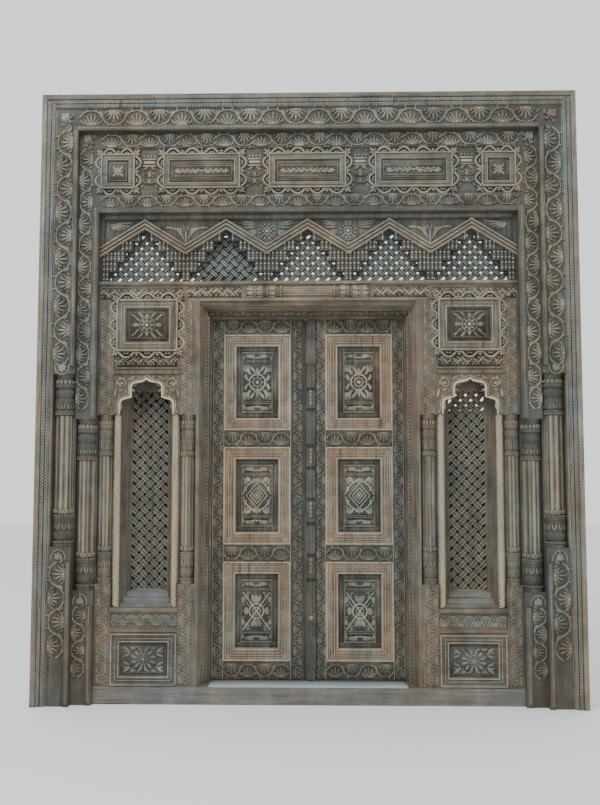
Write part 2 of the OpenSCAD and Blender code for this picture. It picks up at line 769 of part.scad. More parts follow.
// Hanging stile of a leaf, with a round heel and a pintle at each end
module hanging_stile(side) {
  color(DARK_WOOD) on_side(side) {
    block([x_stile, leaf_front, z_leaf], [heel_x, leaf_front + leaf_t, z_leaf_top]);
    translate([heel_x, y(leaf_mid), z_leaf]) cylinder(r = heel_r, h = z_leaf_top - z_leaf);
    translate([heel_x, y(leaf_mid), threshold_h - pintle_len + leaf_gap])
      cylinder(d = pintle_d, h = z_leaf_top - z_leaf + 2 * pintle_len - leaf_gap);
  }
}

// Edge of a leaf at the joint between the two, as a distance from the middle of the doorway
function meeting_edge(side) = side * meeting_x + meeting_gap / 2;

// Stile of a leaf next to the joint
module meeting_stile(side) {
  color(DARK_WOOD) on_side(side)
    block([meeting_edge(side), leaf_front, z_leaf], [meeting_stile_x, leaf_front + leaf_t, z_leaf_top]);
}

// Foot of leaf panel k, counted from the bottom
function leaf_panel_z(k) = z_leaf + bottom_rail_h + k * (leaf_panel_h + mid_rail_h);

// The four rails of a leaf
module leaf_rails(side) {
  foot = [z_leaf, leaf_panel_z(1) - mid_rail_h, leaf_panel_z(2) - mid_rail_h, z_leaf_top - top_rail_h];
  head = [leaf_panel_z(0), leaf_panel_z(1), leaf_panel_z(2), z_leaf_top];
  color(DARK_WOOD) on_side(side)
    for (k = [0 : 3])
      block([meeting_stile_x, leaf_front, foot[k]], [x_stile, leaf_front + leaf_t, head[k]]);
}

// Moulded panel k of a leaf, counted from the bottom
module leaf_panel(side, k) {
  color(PALE_WOOD) on_side(side)
    framed_panel((meeting_stile_x + x_stile) / 2, leaf_panel_z(k) + leaf_panel_h / 2,
                 leaf_panel_w, leaf_panel_h, leaf_front, leaf_front + leaf_t - 8, 10, 66, 20, 104, 8);
}

// Cover bar over the joint, fixed to the right leaf
module astragal() {
  x0 = meeting_x + meeting_gap / 2;
  x1 = x0 + astragal_w;
  front = leaf_front - astragal_t;
  foot = z_leaf + 2;
  head = z_leaf_top - 12;
  color(PALE_WOOD) {
    block([x0 + 4, front + 6, foot], [x1 - 4, leaf_front, head]);
    block([x0 - joint_cover, leaf_front - 5, foot], [x0 + 4, leaf_front, head]);
    for (z = [[z_leaf + 68, z_leaf + 250], [z_stud - 28, z_stud + 28], [head - 260, head - 120]])
      block([x0, front, z[0]], [x1, leaf_front, z[1]]);
    intersection() {
      translate([(x0 + x1) / 2, y(leaf_front), foot]) cylinder(r = astragal_t - 2, h = head - foot);
      block([x0, front, foot], [x1, leaf_front, head]);
    }
  }
}

// Round iron stud on the astragal
module door_stud() {
  x = meeting_x + meeting_gap / 2 + astragal_w / 2;
  front = leaf_front - astragal_t;
  color(IRON) {
    translate([x, y(front), z_stud]) rotate([90, 0, 0]) cylinder(d = 26, h = 5);
    translate([x, y(front - 9), z_stud]) sphere(d = 18);
  }
}

outer_stile(-1);  // outer_stile_left
outer_stile(1);  // outer_stile_right
outer_head();
outer_post(-1);  // outer_post_left
outer_post(1);  // outer_post_right
outer_band_head();
inner_post(-1);  // inner_post_left
inner_post(1);  // inner_post_right
inner_band_head();
frieze_board();
frieze_panel(0);  // frieze_panel_1
frieze_panel(1);  // frieze_panel_2
frieze_panel(2);  // frieze_panel_3
frieze_panel(3);  // frieze_panel_4
frieze_panel(4);  // frieze_panel_5
vine_rail();
spandrel_board();
zigzag_moulding();
corbel_board();
upper_lattice();
lintel();
lintel_column();
column_outer(-1);  // column_outer_left
column_outer(1);  // column_outer_right
column_inner(-1);  // column_inner_left
column_inner(1);  // column_inner_right
upper_panel(-1);  // upper_panel_left
upper_panel(1);  // upper_panel_right
arch_board(-1);  // arch_board_left
arch_board(1);  // arch_board_right
window_frame(-1);  // window_frame_left
window_frame(1);  // window_frame_right
window_lattice(-1);  // window_lattice_left
window_lattice(1);  // window_lattice_right
window_back_board(-1);  // window_back_board_left
window_back_board(1);  // window_back_board_right
window_sill(-1);  // window_sill_left
window_sill(1);  // window_sill_right
apron_rail(-1);  // apron_rail_left
apron_rail(1);  // apron_rail_right
lower_panel(-1);  // lower_panel_left
lower_panel(1);  // lower_panel_right
jamb(-1);  // jamb_left
jamb(1);  // jamb_right
door_head();
threshold();
hanging_stile(-1);  // hanging_stile_left
hanging_stile(1);  // hanging_stile_right
meeting_stile(-1);  // meeting_stile_left
meeting_stile(1);  // meeting_stile_right
leaf_rails(-1);  // leaf_rails_left
leaf_rails(1);  // leaf_rails_right
leaf_panel(-1, 2);  // leaf_panel_top_left
leaf_panel(1, 2);  // leaf_panel_top_right
leaf_panel(-1, 1);  // leaf_panel_middle_left
leaf_panel(1, 1);  // leaf_panel_middle_right
leaf_panel(-1, 0);  // leaf_panel_bottom_left
leaf_panel(1, 0);  // leaf_panel_bottom_right
astragal();
door_stud();
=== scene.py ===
# Carved timber door portal: a pair of panelled leaves in a stepped, carved frame.
import bpy, bmesh, math
from mathutils import Matrix, Vector


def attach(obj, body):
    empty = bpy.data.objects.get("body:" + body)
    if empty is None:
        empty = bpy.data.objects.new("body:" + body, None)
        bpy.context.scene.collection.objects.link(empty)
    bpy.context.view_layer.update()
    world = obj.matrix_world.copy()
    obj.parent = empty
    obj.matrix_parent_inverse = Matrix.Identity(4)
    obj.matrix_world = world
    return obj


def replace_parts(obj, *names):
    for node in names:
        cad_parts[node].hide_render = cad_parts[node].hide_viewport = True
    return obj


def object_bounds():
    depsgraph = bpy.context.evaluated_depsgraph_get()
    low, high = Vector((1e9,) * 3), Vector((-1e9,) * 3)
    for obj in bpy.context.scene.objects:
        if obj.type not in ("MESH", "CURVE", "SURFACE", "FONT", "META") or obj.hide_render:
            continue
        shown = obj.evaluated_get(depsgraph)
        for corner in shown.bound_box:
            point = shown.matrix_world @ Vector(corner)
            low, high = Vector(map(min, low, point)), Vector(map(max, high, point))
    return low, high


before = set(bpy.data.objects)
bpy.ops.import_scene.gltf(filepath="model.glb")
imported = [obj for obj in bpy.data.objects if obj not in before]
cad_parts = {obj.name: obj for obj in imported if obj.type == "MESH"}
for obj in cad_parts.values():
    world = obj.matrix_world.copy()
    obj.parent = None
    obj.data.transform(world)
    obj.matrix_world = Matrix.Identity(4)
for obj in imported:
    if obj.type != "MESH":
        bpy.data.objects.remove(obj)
first_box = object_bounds()


# Outer frame: one stepped board up each side and one across the head, sawn from brown hardwood,
# mitred at the top corners. The front fillet is smooth and worn pale, the cove behind it is cut
# with two rows of short chisel strokes.

# Half the width, the height, and the front face ahead of the middle plane, in mm, from the frame.
half_width = round(first_box[1][0] * 1000, 1)
height = round(first_box[1][2] * 1000, 1)
front = round(-first_box[0][1] * 1000, 1)


def timber(name, dark, mid, pale, along="z", lift=0.0, bump=0.35):
    """Old oiled wood: grain along one axis, grey and warm patches; pale where the wear-and-shade mark is
    high, for rubbed crests, and dark where it is low, as painted shade in cuts.
    """
    mat = bpy.data.materials.new(name)
    mat.use_nodes = True
    nodes, link = mat.node_tree.nodes, mat.node_tree.links.new
    shader = nodes["Principled BSDF"]
    shader.inputs["Specular IOR Level"].default_value = 0.32
    place = nodes.new("ShaderNodeTexCoord")

    def noise(stretch, detail, rough, distortion=0.0):
        turn = nodes.new("ShaderNodeMapping")
        turn.inputs["Scale"].default_value = stretch
        grain = nodes.new("ShaderNodeTexNoise")
        grain.inputs["Scale"].default_value = 1.0
        grain.inputs["Detail"].default_value = detail
        grain.inputs["Roughness"].default_value = rough
        grain.inputs["Distortion"].default_value = distortion
        link(place.outputs["Object"], turn.inputs["Vector"])
        link(turn.outputs["Vector"], grain.inputs["Vector"])
        return grain.outputs["Fac"]

    def ramp(value, low, high, a=0.0, b=1.0):
        step = nodes.new("ShaderNodeMapRange")
        step.interpolation_type = "SMOOTHSTEP"
        for socket, v in (("From Min", low), ("From Max", high), ("To Min", a), ("To Max", b)):
            step.inputs[socket].default_value = v
        link(value, step.inputs["Value"])
        return step.outputs["Result"]

    def sums(op, a, b):
        m = nodes.new("ShaderNodeMath")
        m.operation = op
        for i, v in enumerate((a, b)):
            if isinstance(v, (int, float)):
                m.inputs[i].default_value = v
            else:
                link(v, m.inputs[i])
        return m.outputs[0]

    def mix(fac, a, b, how="MIX"):
        m = nodes.new("ShaderNodeMix")
        m.data_type, m.blend_type = "RGBA", how
        for socket, v in ((m.inputs[0], fac), (m.inputs[6], a), (m.inputs[7], b)):
            if isinstance(v, (int, float)):
                socket.default_value = v
            elif isinstance(v, (tuple, list)):
                socket.default_value = (*v, 1)
            else:
                link(v, socket)
        return m.outputs[2]

    # Noise stretched along the grain makes fibres, streaks and cracks; even noise makes the patches.
    long = {"x": (5, 110, 110), "y": (110, 5, 110), "z": (110, 110, 5)}[along]
    fibre = noise(long, 4, 0.62, 0.4)
    streak = noise(tuple(v * 0.22 for v in long), 3, 0.6, 0.8)
    patch = noise((2.1, 2.1, 1.5), 4, 0.6, 0.5)
    stain = noise((9, 9, 7), 5, 0.65)
    speck = noise((320, 320, 320), 2, 0.6)

    # The higher a spot stands, the paler it is, from the dark bottom of a cut to a bare crest: rubbed wear on
    # the crests, painted shade in the cuts.
    wear_and_shade = nodes.new("ShaderNodeAttribute")
    wear_and_shade.attribute_name = "wear_and_shade"
    rub_and_shade = sums("ADD", wear_and_shade.outputs["Fac"], lift)
    rub_and_shade = sums("ADD", rub_and_shade, sums("MULTIPLY", sums("SUBTRACT", fibre, 0.5), 0.9))
    rub_and_shade = sums("ADD", rub_and_shade, sums("MULTIPLY", sums("SUBTRACT", stain, 0.5), 1.1))
    body = mix(ramp(rub_and_shade, 0.0, 0.55), dark, mid)
    body = mix(ramp(rub_and_shade, 0.45, 1.15), body, pale)
    stained = mix(1.0, body, (0.62, 0.58, 0.55), "MULTIPLY")
    body = mix(ramp(streak, 0.35, 0.7, 0.0, 0.45), body, stained)
    grey = mix(1.0, body, (0.92, 0.99, 1.01), "MULTIPLY")
    warm = mix(1.0, body, (1.07, 0.99, 0.88), "MULTIPLY")
    body = mix(ramp(patch, 0.36, 0.64), grey, warm)
    hue = noise((26, 26, 20), 3, 0.6)
    blue = mix(1.0, body, (0.80, 1.0, 1.04), "MULTIPLY")
    body = mix(ramp(hue, 0.34, 0.50, 0.55, 0.0), body, blue)
    red = mix(1.0, body, (1.20, 0.96, 0.80), "MULTIPLY")
    body = mix(ramp(hue, 0.52, 0.68, 0.0, 0.6), body, red)
    crack = ramp(noise(tuple(v * 0.55 for v in long), 2, 0.5, 0.3), 0.30, 0.36, 0.45, 1.0)
    body = mix(sums("SUBTRACT", 1.0, crack), body, (0.02, 0.017, 0.014))
    link(body, shader.inputs["Base Color"])

    # Rubbed wood is a little smoother; fibres, pores and cracks stand as fine relief.
    link(ramp(rub_and_shade, 0.1, 1.1, 0.82, 0.58), shader.inputs["Roughness"])
    depth = sums("ADD", sums("MULTIPLY", fibre, 0.8), sums("MULTIPLY", speck, 0.35))
    depth = sums("ADD", depth, sums("MULTIPLY", crack, 0.9))
    relief = nodes.new("ShaderNodeBump")
    relief.inputs["Strength"].default_value = bump
    relief.inputs["Distance"].default_value = 0.0016
    link(depth, relief.inputs["Height"])
    link(relief.outputs["Normal"], shader.inputs["Normal"])
    return mat


def finish_node(mat, *names):
    """Gives pieces of the frame their finish."""
    for name in names:
        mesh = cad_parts[name].data
        mesh.materials.clear()
        mesh.materials.append(mat)


upright = timber("frame_upright", (0.075, 0.066, 0.054), (0.145, 0.129, 0.104), (0.304, 0.280, 0.228),
                 "z", 0.58)
across = timber("frame_across", (0.069, 0.065, 0.056), (0.120, 0.114, 0.099), (0.266, 0.252, 0.214),
                "x", 0.42)
finish_node(upright, "outer_stile_left", "outer_stile_right")
finish_node(across, "outer_head")


def strand(cut, line, wide, high, ridge=(0.75, 1.0, 0.75), foot=-1.5):
    """A raised strand, in mm, along a line of points; its width and height may change along it."""
    last = len(line) - 1
    across = (-0.5, -0.34, 0, 0.34, 0.5)
    grid = bmesh.ops.create_grid(cut, x_segments=last, y_segments=4, size=1)["verts"]
    for v in grid:
        i, k = round((v.co.x + 1) / 2 * last), round((v.co.y + 1) * 2)
        (ax, ay), (bx, by) = line[max(i - 1, 0)], line[min(i + 1, last)]
        span = math.hypot(bx - ax, by - ay) or 1
        w = wide(i / last) if callable(wide) else wide
        h = high(i / last) if callable(high) else high
        off = across[k] * w
        rise = foot if k in (0, 4) else h * ridge[k - 1]
        v.co = (line[i][0] - (by - ay) / span * off, line[i][1] + (bx - ax) / span * off, rise)


def leaf(cut, x, y, turn, long, wide, high, curl=0.0, steps=4):
    """A split leaf from a point, turned in degrees, curling as it goes, with a groove for its rib."""
    line, a, step = [(x, y)], math.radians(turn), long / steps
    for i in range(steps):
        line.append((line[-1][0] + math.cos(a) * step, line[-1][1] + math.sin(a) * step))
        a += math.radians(curl) / steps
    strand(cut, line, lambda t: wide * (0.22 + 0.78 * math.sin(math.pi * min(1, t * 0.86 + 0.1))),
           lambda t: high * (0.7 + 0.3 * math.sin(math.pi * t)), (1.0, 0.55, 1.0))


def bead(cut, x, y, radius, high, sides=8):
    """A round boss with a domed top."""
    for r, h in ((radius, -1.5), (radius * 0.92, high * 0.55), (radius * 0.5, high)):
        ring = bmesh.ops.create_circle(cut, segments=sides, radius=r)["verts"]
        bmesh.ops.translate(cut, verts=ring, vec=(x, y, h))
        edges = [e for v in ring for e in v.link_edges if e.other_vert(v) in ring]
        if r < radius:
            bmesh.ops.bridge_loops(cut, edges=list(set(edges) | set(before)))
        before = edges
    bmesh.ops.contextual_create(cut, geom=ring)


def block(cut, x, y, wide, tall, high, taper=0.75, foot=-1.5):
    """A chiselled block with sloping sides."""
    body = bmesh.ops.create_cube(cut, size=1)["verts"]
    for v in body:
        s = taper if v.co.z > 0 else 1
        v.co = (x + v.co.x * wide * s, y + v.co.y * tall * s, high if v.co.z > 0 else foot)


def arc(x, y, radius, a, b, steps, squash=1.0):
    """Points along a round stretch from a to b degrees."""
    turns = [math.radians(a + (b - a) * i / steps) for i in range(steps + 1)]
    return [(x + radius * math.cos(t), y + radius * squash * math.sin(t)) for t in turns]


def scroll(cut, x, y, radius, turn, hand, wide, high, steps=10):
    """A spiral tendril ending in a small round eye."""
    line, wraps, closing = [], 1.35, 0.72
    for i in range(steps + 1):
        t = i / steps
        a = math.radians(turn) + hand * t * wraps * 2 * math.pi
        reach = radius * (1 - closing * t)
        line.append((x + math.cos(a) * reach, y + math.sin(a) * reach))
    strand(cut, line, wide, high)
    bead(cut, x, y, radius * 0.26, high, 6)


def motif(name, cut):
    """Closes the buried backs of a carving and marks the height of each point, so that its low points are
    painted dark as shade and its crests pale as wear.
    """
    bmesh.ops.holes_fill(cut, edges=[e for e in cut.edges if e.is_boundary], sides=0)
    bmesh.ops.recalc_face_normals(cut, faces=cut.faces)
    top = max(v.co.z for v in cut.verts)
    wear_and_shade = cut.verts.layers.float.new("wear_and_shade")
    for v in cut.verts:
        v[wear_and_shade] = max(0.0, v.co.z / top)
    for f in cut.faces:
        f.smooth = True
    mesh = bpy.data.meshes.new(name)
    cut.to_mesh(mesh)
    cut.free()
    return mesh


def set_wear_and_shade(mesh, level):
    """Gives a whole carving one level of the wear-and-shade mark: 0 stays dark, 1 is pale."""
    for point in mesh.attributes["wear_and_shade"].data:
        point.value = level
    return mesh


def seat(x, z, depth, turn=0.0, swing=0.0, lean=0.0):
    """Sets a carving on the front: x, z and depth behind the front plane in mm, turned in degrees."""
    return (Matrix.Translation((x / 1000, (depth - front) / 1000, z / 1000))
            @ Matrix.Rotation(math.radians(swing), 4, "Z") @ Matrix.Rotation(math.radians(lean), 4, "X")
            @ Matrix.Rotation(math.pi / 2, 4, "X") @ Matrix.Rotation(math.radians(turn), 4, "Z")
            @ Matrix.Scale(0.001, 4))


def carve(name, body, mat, cuts):
    """Joins the carvings of one board into one piece."""
    whole = bmesh.new()
    for mesh, place in cuts:
        copy = mesh.copy()
        copy.transform(place)
        if place.determinant() < 0:
            copy.flip_normals()
        whole.from_mesh(copy)
        bpy.data.meshes.remove(copy)
    mesh = bpy.data.meshes.new(name)
    whole.to_mesh(mesh)
    whole.free()
    mesh.materials.append(mat)
    obj = bpy.data.objects.new(name, mesh)
    bpy.context.scene.collection.objects.link(obj)
    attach(obj, body)
    return obj


FLIP = Matrix.Scale(-1, 4, Vector((1, 0, 0)))


def mirrored(cuts):
    """The carvings of the right side, set out for the left."""
    return [(mesh, FLIP @ place) for mesh, place in cuts]


def both(cuts):
    """Repeats the carvings of the right side on the left."""
    return cuts + mirrored(cuts)


cove_wood = timber("cove_wood", (0.036, 0.041, 0.042), (0.122, 0.127, 0.121), (0.275, 0.275, 0.250), "z", 0.0)
cut = bmesh.new()
block(cut, 0, 0, 17, 23, 0.6, 1.0, -3)
block(cut, -3, 6.5, 10, 5, 4.0, 0.85)
block(cut, 4, -6.5, 10, 5, 4.0, 0.85)
block(cut, -5.5, -2, 4, 12, 4.0, 0.8)
block(cut, 5.5, 2, 4, 12, 4.0, 0.8)
block(cut, 0, 0, 4, 6, 3.0, 0.8)
strokes = motif("chisel_strokes", cut)
stroke_pitch = 17
cove_rows = ((41, 8.4, 6), (64, 13.0, 21))  # inset from the frame's edge, depth and slope of each row
cuts = both([(strokes, seat(half_width - inset, 9 + stroke_pitch * i, deep, 90, swing=-slope))
             for i in range(200) for inset, deep, slope in cove_rows])
cuts += [(strokes, seat(stroke_pitch * i, height - inset, deep, 0, lean=slope))
         for i in range(-85, 86) for inset, deep, slope in cove_rows]
carve("cove_cuts", "portal", cove_wood, cuts)


# Outer band: a flat post up each side and a head board between them, each carved with a wavy vine
# whose bays hold fans of seven blades, beside a smooth strip of small beads. The lower part of each
# post is a turned column with leaf cups and a reeded shaft, over a carved foot.
band_tones = ((0.048, 0.048, 0.043), (0.092, 0.087, 0.074), (0.247, 0.233, 0.195))
vine_tones = ((0.037, 0.037, 0.034), (0.130, 0.121, 0.101), (0.323, 0.304, 0.255))
post_wood = timber("vine_post", *band_tones, "z", 0.24)
post_cut = timber("vine_post_carved", *vine_tones, "z", 0.0)
beam_wood = timber("vine_beam", *band_tones, "x", 0.24)
beam_cut = timber("vine_beam_carved", *vine_tones, "x", 0.0)
finish_node(post_wood, "outer_post_left", "outer_post_right")
finish_node(beam_wood, "outer_band_head")


def vine(name, pitch, wide, high=9.0):
    """One wave of a vine in a band: two bends of the stem over a fan from each edge."""
    cut = bmesh.new()
    reach = wide / 2 - 6
    stem = [(pitch * (i / 12 - 0.085 * math.sin(math.pi * i / 6)), reach * math.sin(math.pi * i / 12))
            for i in range(25)]
    strand(cut, stem, lambda t: wide * (0.08 + 0.07 * abs(math.cos(2 * math.pi * t))), high * 0.82)
    blades = ((-86, 0.50), (-58, 0.66), (-29, 0.78), (0, 0.86), (29, 0.78), (58, 0.66), (86, 0.50))
    for side, u in ((-1, pitch * 0.5), (1, pitch * 1.5)):
        foot, up = side * (wide / 2 - 3), -90 * side
        for a, long in blades:
            leaf(cut, u, foot, up + a, wide * long, wide * 0.125, high * 1.05, -a * 0.45)
        bead(cut, u, foot - side * wide * 0.06, wide * 0.10, high * 1.15, 6)
        for hand in (-1, 1):
            leaf(cut, u + hand * pitch * 0.24, -side * reach * 0.72, up + hand * 20, wide * 0.42,
                 wide * 0.13, high * 0.85, -hand * 80, 3)
            leaf(cut, u + hand * pitch * 0.47, side * reach * 0.20, -up - hand * 20, wide * 0.44,
                 wide * 0.18, high * 0.8, -hand * 80, 3)
            leaf(cut, u + hand * pitch * 0.34, foot, up + hand * 8, wide * 0.30,
                 wide * 0.16, high * 0.8, hand * 60, 3)
    return motif(name, cut)


def corner(name, wide, high=9.0):
    """A diagonal fan for the corner where two bands meet."""
    cut = bmesh.new()
    h = wide / 2 - 5
    for a, long in ((-52, 0.5), (-26, 0.62), (0, 0.8), (26, 0.62), (52, 0.5)):
        leaf(cut, -h * 0.7, -h * 0.7, 45 + a, wide * long, wide * 0.15, high, -a * 0.4)
    scroll(cut, -h * 0.6, h * 0.62, wide * 0.14, 200, -1, 5, high)
    scroll(cut, h * 0.62, -h * 0.6, wide * 0.14, 250, 1, 5, high)
    bead(cut, -h * 0.72, -h * 0.72, wide * 0.08, high * 1.1, 6)
    return motif(name, cut)


def rules(name, w, h, rows):
    """Thin raised lines round a panel, each as (inset, width, height)."""
    cut = bmesh.new()
    for inset, wide, high in rows:
        x, y = w / 2 - inset, h / 2 - inset
        for a, b in (((-x, y), (x, y)), ((x, -y), (-x, -y)), ((-x, -y), (-x, y)), ((x, y), (x, -y))):
            strand(cut, [a, b], wide, high)
    return motif(name, cut)


def shade_plate(name, w, h, inset, wide):
    """The dark flat of a sunk moulding round a panel, painted shade for the hollow."""
    cut = bmesh.new()
    x, y = w / 2 - inset, h / 2 - inset
    for s in (-1, 1):
        block(cut, 0, s * (y - wide / 2), 2 * x, wide, 0.6, 1.0)
        block(cut, s * (x - wide / 2), 0, wide, 2 * (y - wide), 0.6, 1.0)
    return set_wear_and_shade(motif(name, cut), 0.12)


def run(mesh, a, b, long, across, depth, upright_run):
    """Repeats a wave of `long` mm between a and b, stretched a little to come out whole."""
    count = max(1, round((b - a) / long))
    fit = (b - a) / count / long
    cuts = []
    for i in range(count):
        at = a + (b - a) * i / count
        place = seat(across, at, depth, 90) if upright_run else seat(at, across, depth)
        cuts.append((mesh, place @ Matrix.Scale(fit, 4, Vector((1, 0, 0)))))
    return cuts


def beads(name, pitch, wide, high, count=8):
    """A short length of round beads between two thin lines."""
    cut = bmesh.new()
    for i in range(count):
        bead(cut, pitch * (i + 0.5), 0, min(wide, pitch) * 0.4, high, 6)
    for side in (-1, 1):
        edge = side * wide * 0.62
        strand(cut, [(0, edge), (pitch * count, edge)], 2.6, high * 0.8)
    return motif(name, cut)


# Middles and depths of the vine and the bead strip, the length of one wave of each, and the heights
# between which they run below and above the turned column.
outer_vine_x, outer_bead_x = 1392, 1330
outer_vine_deep, outer_bead_deep = 20, 8
outer_wave, bead_wave = 262, 110
outer_foot_low, outer_foot_high = 262, 786
outer_upper_low, outer_upper_high = 1881, 3241
post_foot = 20
outer_vine = vine("outer_vine", outer_wave / 2, 95)
outer_corner = corner("outer_corner", 95)
bead_row = beads("bead_row", bead_wave / 10, 13, 3.5, 10)
vine_lane = (outer_wave, outer_vine_x, outer_vine_deep, True)
bead_lane = (bead_wave, outer_bead_x, outer_bead_deep, True)
cuts = both(run(outer_vine, outer_upper_low, outer_upper_high, *vine_lane)
            + run(outer_vine, outer_foot_low, outer_foot_high, *vine_lane)
            + run(bead_row, outer_upper_low, outer_upper_high, *bead_lane)
            + run(bead_row, post_foot, outer_foot_high, *bead_lane))
cut = bmesh.new()
for a, long in ((-60, 30), (-30, 42), (0, 52), (30, 42), (60, 30)):
    leaf(cut, 0, 0, 90 + a, long, 17, 6, -a * 0.4)
strand(cut, arc(0, 4, 40, -10, 190, 16, 1.25), 6, 6)
dome_leaf = motif("dome_leaf", cut)
cuts += both([(dome_leaf, seat(1386, 800, outer_vine_deep)), (dome_leaf, seat(1270, 552, 52)),
              (dome_leaf, seat(1386, 1886, outer_vine_deep, 180))])
carve("outer_post_carving", "portal", post_cut, cuts)
outer_head_vine_z, outer_head_bead_z = 3317, 3255
cuts = (run(outer_vine, -1310, 1310, outer_wave, outer_head_vine_z, outer_vine_deep, False)
        + run(bead_row, -1316, 1316, bead_wave, outer_head_bead_z, outer_bead_deep, False))
cuts += both([(outer_corner, seat(1378, 3308, outer_vine_deep, 180))])
carve("outer_head_carving", "portal", beam_cut, cuts)


def cup(name, radius, tall, count=10, high=7.0, full=0.98, dark=False):
    """A ring of upright leaves round a turned post, standing on its foot."""
    cut = bmesh.new()
    leaf(cut, 0, 0, 90, tall, radius * 2 * math.pi / count * full, high, 0, 4)
    petal = motif(name + "_leaf", cut)
    if dark:
        set_wear_and_shade(petal, 0.0)
    whole = bmesh.new()
    for i in range(count):
        a = 2 * math.pi * (i + 0.5) / count
        copy = petal.copy()
        copy.transform(Matrix.Rotation(a, 4, "Z") @ Matrix.Translation((0, -radius, 0))
                       @ Matrix.Rotation(math.pi / 2, 4, "X"))
        whole.from_mesh(copy)
        bpy.data.meshes.remove(copy)
    mesh = bpy.data.meshes.new(name)
    whole.to_mesh(mesh)
    whole.free()
    return mesh


def reeds(name, radius, tall, count=20, deep=3.0):
    """A shaft sawn with upright reeds."""
    cut = bmesh.new()
    shaft = bmesh.ops.create_cone(cut, segments=count * 2, radius1=radius, radius2=radius, depth=tall,
                                  cap_ends=True)["verts"]
    for v in shaft:
        step = round(math.atan2(v.co.y, v.co.x) / math.pi * count)
        if step % 2:
            v.co.x *= (radius - deep) / radius
            v.co.y *= (radius - deep) / radius
    bmesh.ops.translate(cut, verts=shaft, vec=(0, 0, tall / 2))
    bmesh.ops.recalc_face_normals(cut, faces=cut.faces)
    # Reed crests are marked pale and the valleys dark: wear on the crests, painted shade in the valleys.
    wear_and_shade = cut.verts.layers.float.new("wear_and_shade")
    for v in cut.verts:
        v[wear_and_shade] = 0.8 if math.hypot(v.co.x, v.co.y) > radius - deep / 2 else 0.0
    mesh = bpy.data.meshes.new(name)
    cut.to_mesh(mesh)
    cut.free()
    return mesh


def stand(x, z, depth, upside=False):
    """Sets a turned carving on its axis."""
    return (Matrix.Translation((x / 1000, (depth - front) / 1000, z / 1000))
            @ (Matrix.Rotation(math.pi, 4, "X") if upside else Matrix.Identity(4)) @ Matrix.Scale(0.001, 4))


def dress(x, depth, radius, foot, top):
    """Leaf cups, rings of beads and reeds for one turned post."""
    low, high = foot + 180, top - 236
    cups = cup("cup", radius * 0.84, 56, 9, radius * 0.10, 0.94)
    slots = cup("slots", radius * 0.92, 34, 9, radius * 0.07, 0.26, True)
    crown = cup("crown", radius * 0.80, 30, 14, radius * 0.18)
    collar = cup("collar", radius * 0.90, 10, 22, radius * 0.11)
    shaft = reeds("shaft", radius * 0.86, high - low, 15, 4.5)
    upright_parts = ((cups, foot + 94), (shaft, low), (slots, foot + 106), (crown, low + 2),
                     (crown, top - 60), (collar, foot + 154), (collar, foot + 168), (collar, top - 221),
                     (collar, top - 232), (collar, foot + 22), (collar, top - 72))
    hanging_parts = ((cups, top - 147), (slots, top - 160))
    return ([(piece, stand(x, z, depth)) for piece, z in upright_parts]
            + [(piece, stand(x, z, depth, True)) for piece, z in hanging_parts])


turned_cut = timber("turned_carved", (0.042, 0.044, 0.041), (0.118, 0.108, 0.091), (0.232, 0.204, 0.158),
                    "z", 0.12)
carve("outer_turned_carving", "portal", turned_cut, both(dress(1378.5, 79.5, 59.5, 868, 1836)))


# Inner band: thicker posts set further back, and the head board over the frieze, with a closer vine
# of the same kind. Turned columns stand in the lower part of the posts.
inner_vine_x, inner_bead_x = 1276, 1217
inner_vine_deep, inner_bead_deep = 52, 42
inner_wave, inner_head_wave = 234, 214
inner_foot_high = 539
inner_vine = vine("inner_vine", inner_wave / 2, 80, 9)
inner_corner = corner("inner_corner", 88)
finish_node(post_wood, "inner_post_left", "inner_post_right")
finish_node(beam_wood, "inner_band_head")
vine_lane = (inner_wave, inner_vine_x, inner_vine_deep, True)
bead_lane = (bead_wave, inner_bead_x, inner_bead_deep, True)
cuts = both(run(inner_vine, 1634, 3148, *vine_lane)
            + run(inner_vine, 153, inner_foot_high, *vine_lane)
            + run(bead_row, 1600, 2798, *bead_lane)
            + run(bead_row, post_foot, inner_foot_high, *bead_lane))
carve("inner_post_carving", "portal", post_cut, cuts)
inner_head_z, inner_head_end = 3194, 1190
cuts = run(inner_vine, -inner_head_end, inner_head_end, inner_head_wave, inner_head_z, inner_vine_deep, False)
cuts += both([(inner_corner, seat(1256, inner_head_z, inner_vine_deep, 180))])
carve("inner_head_carving", "portal", beam_cut, cuts)
carve("inner_turned_carving", "portal", turned_cut, both(dress(1257, 108, 56, 624, 1583)))


# Frieze: five moulded panels pinned to a back board, each edged with a sawn and carved ribbon that
# swells into points, with scrolled blocks between the panels.
frieze_wood = timber("frieze_wood", (0.056, 0.051, 0.045), (0.125, 0.113, 0.094), (0.314, 0.285, 0.233),
                     "x", 0.42)
frieze_cut = timber("frieze_carved", (0.040, 0.040, 0.036), (0.135, 0.125, 0.104), (0.290, 0.270, 0.222),
                    "x", 0.05)
finish_node(beam_wood, "frieze_board")
finish_node(frieze_wood, *(f"frieze_panel_{i}" for i in range(1, 6)))


def ribbon(name, long, out, high):
    """One sweep of a scalloped ribbon edging, with a leaf under its crest."""
    cut = bmesh.new()
    half = [(0, out * 0.25), (long * 0.08, out * 0.1), (long * 0.17, out * 0.2), (long * 0.27, out * 0.62),
            (long * 0.38, out * 0.95), (long * 0.5, out * 1.05)]
    line = half + [(long - x, y) for x, y in reversed(half[:-1])]
    strand(cut, line, out * 0.42, high)
    strand(cut, [(x, y + out * 0.34) for x, y in line], out * 0.16, high * 0.8)
    leaf(cut, long * 0.34, out * 0.12, 22, long * 0.2, out * 0.42, high * 0.9, 20)
    leaf(cut, long * 0.66, out * 0.12, 158, long * 0.2, out * 0.42, high * 0.9, -20)
    bead(cut, 0, out * 0.55, out * 0.24, high, 8)
    return motif(name, cut)


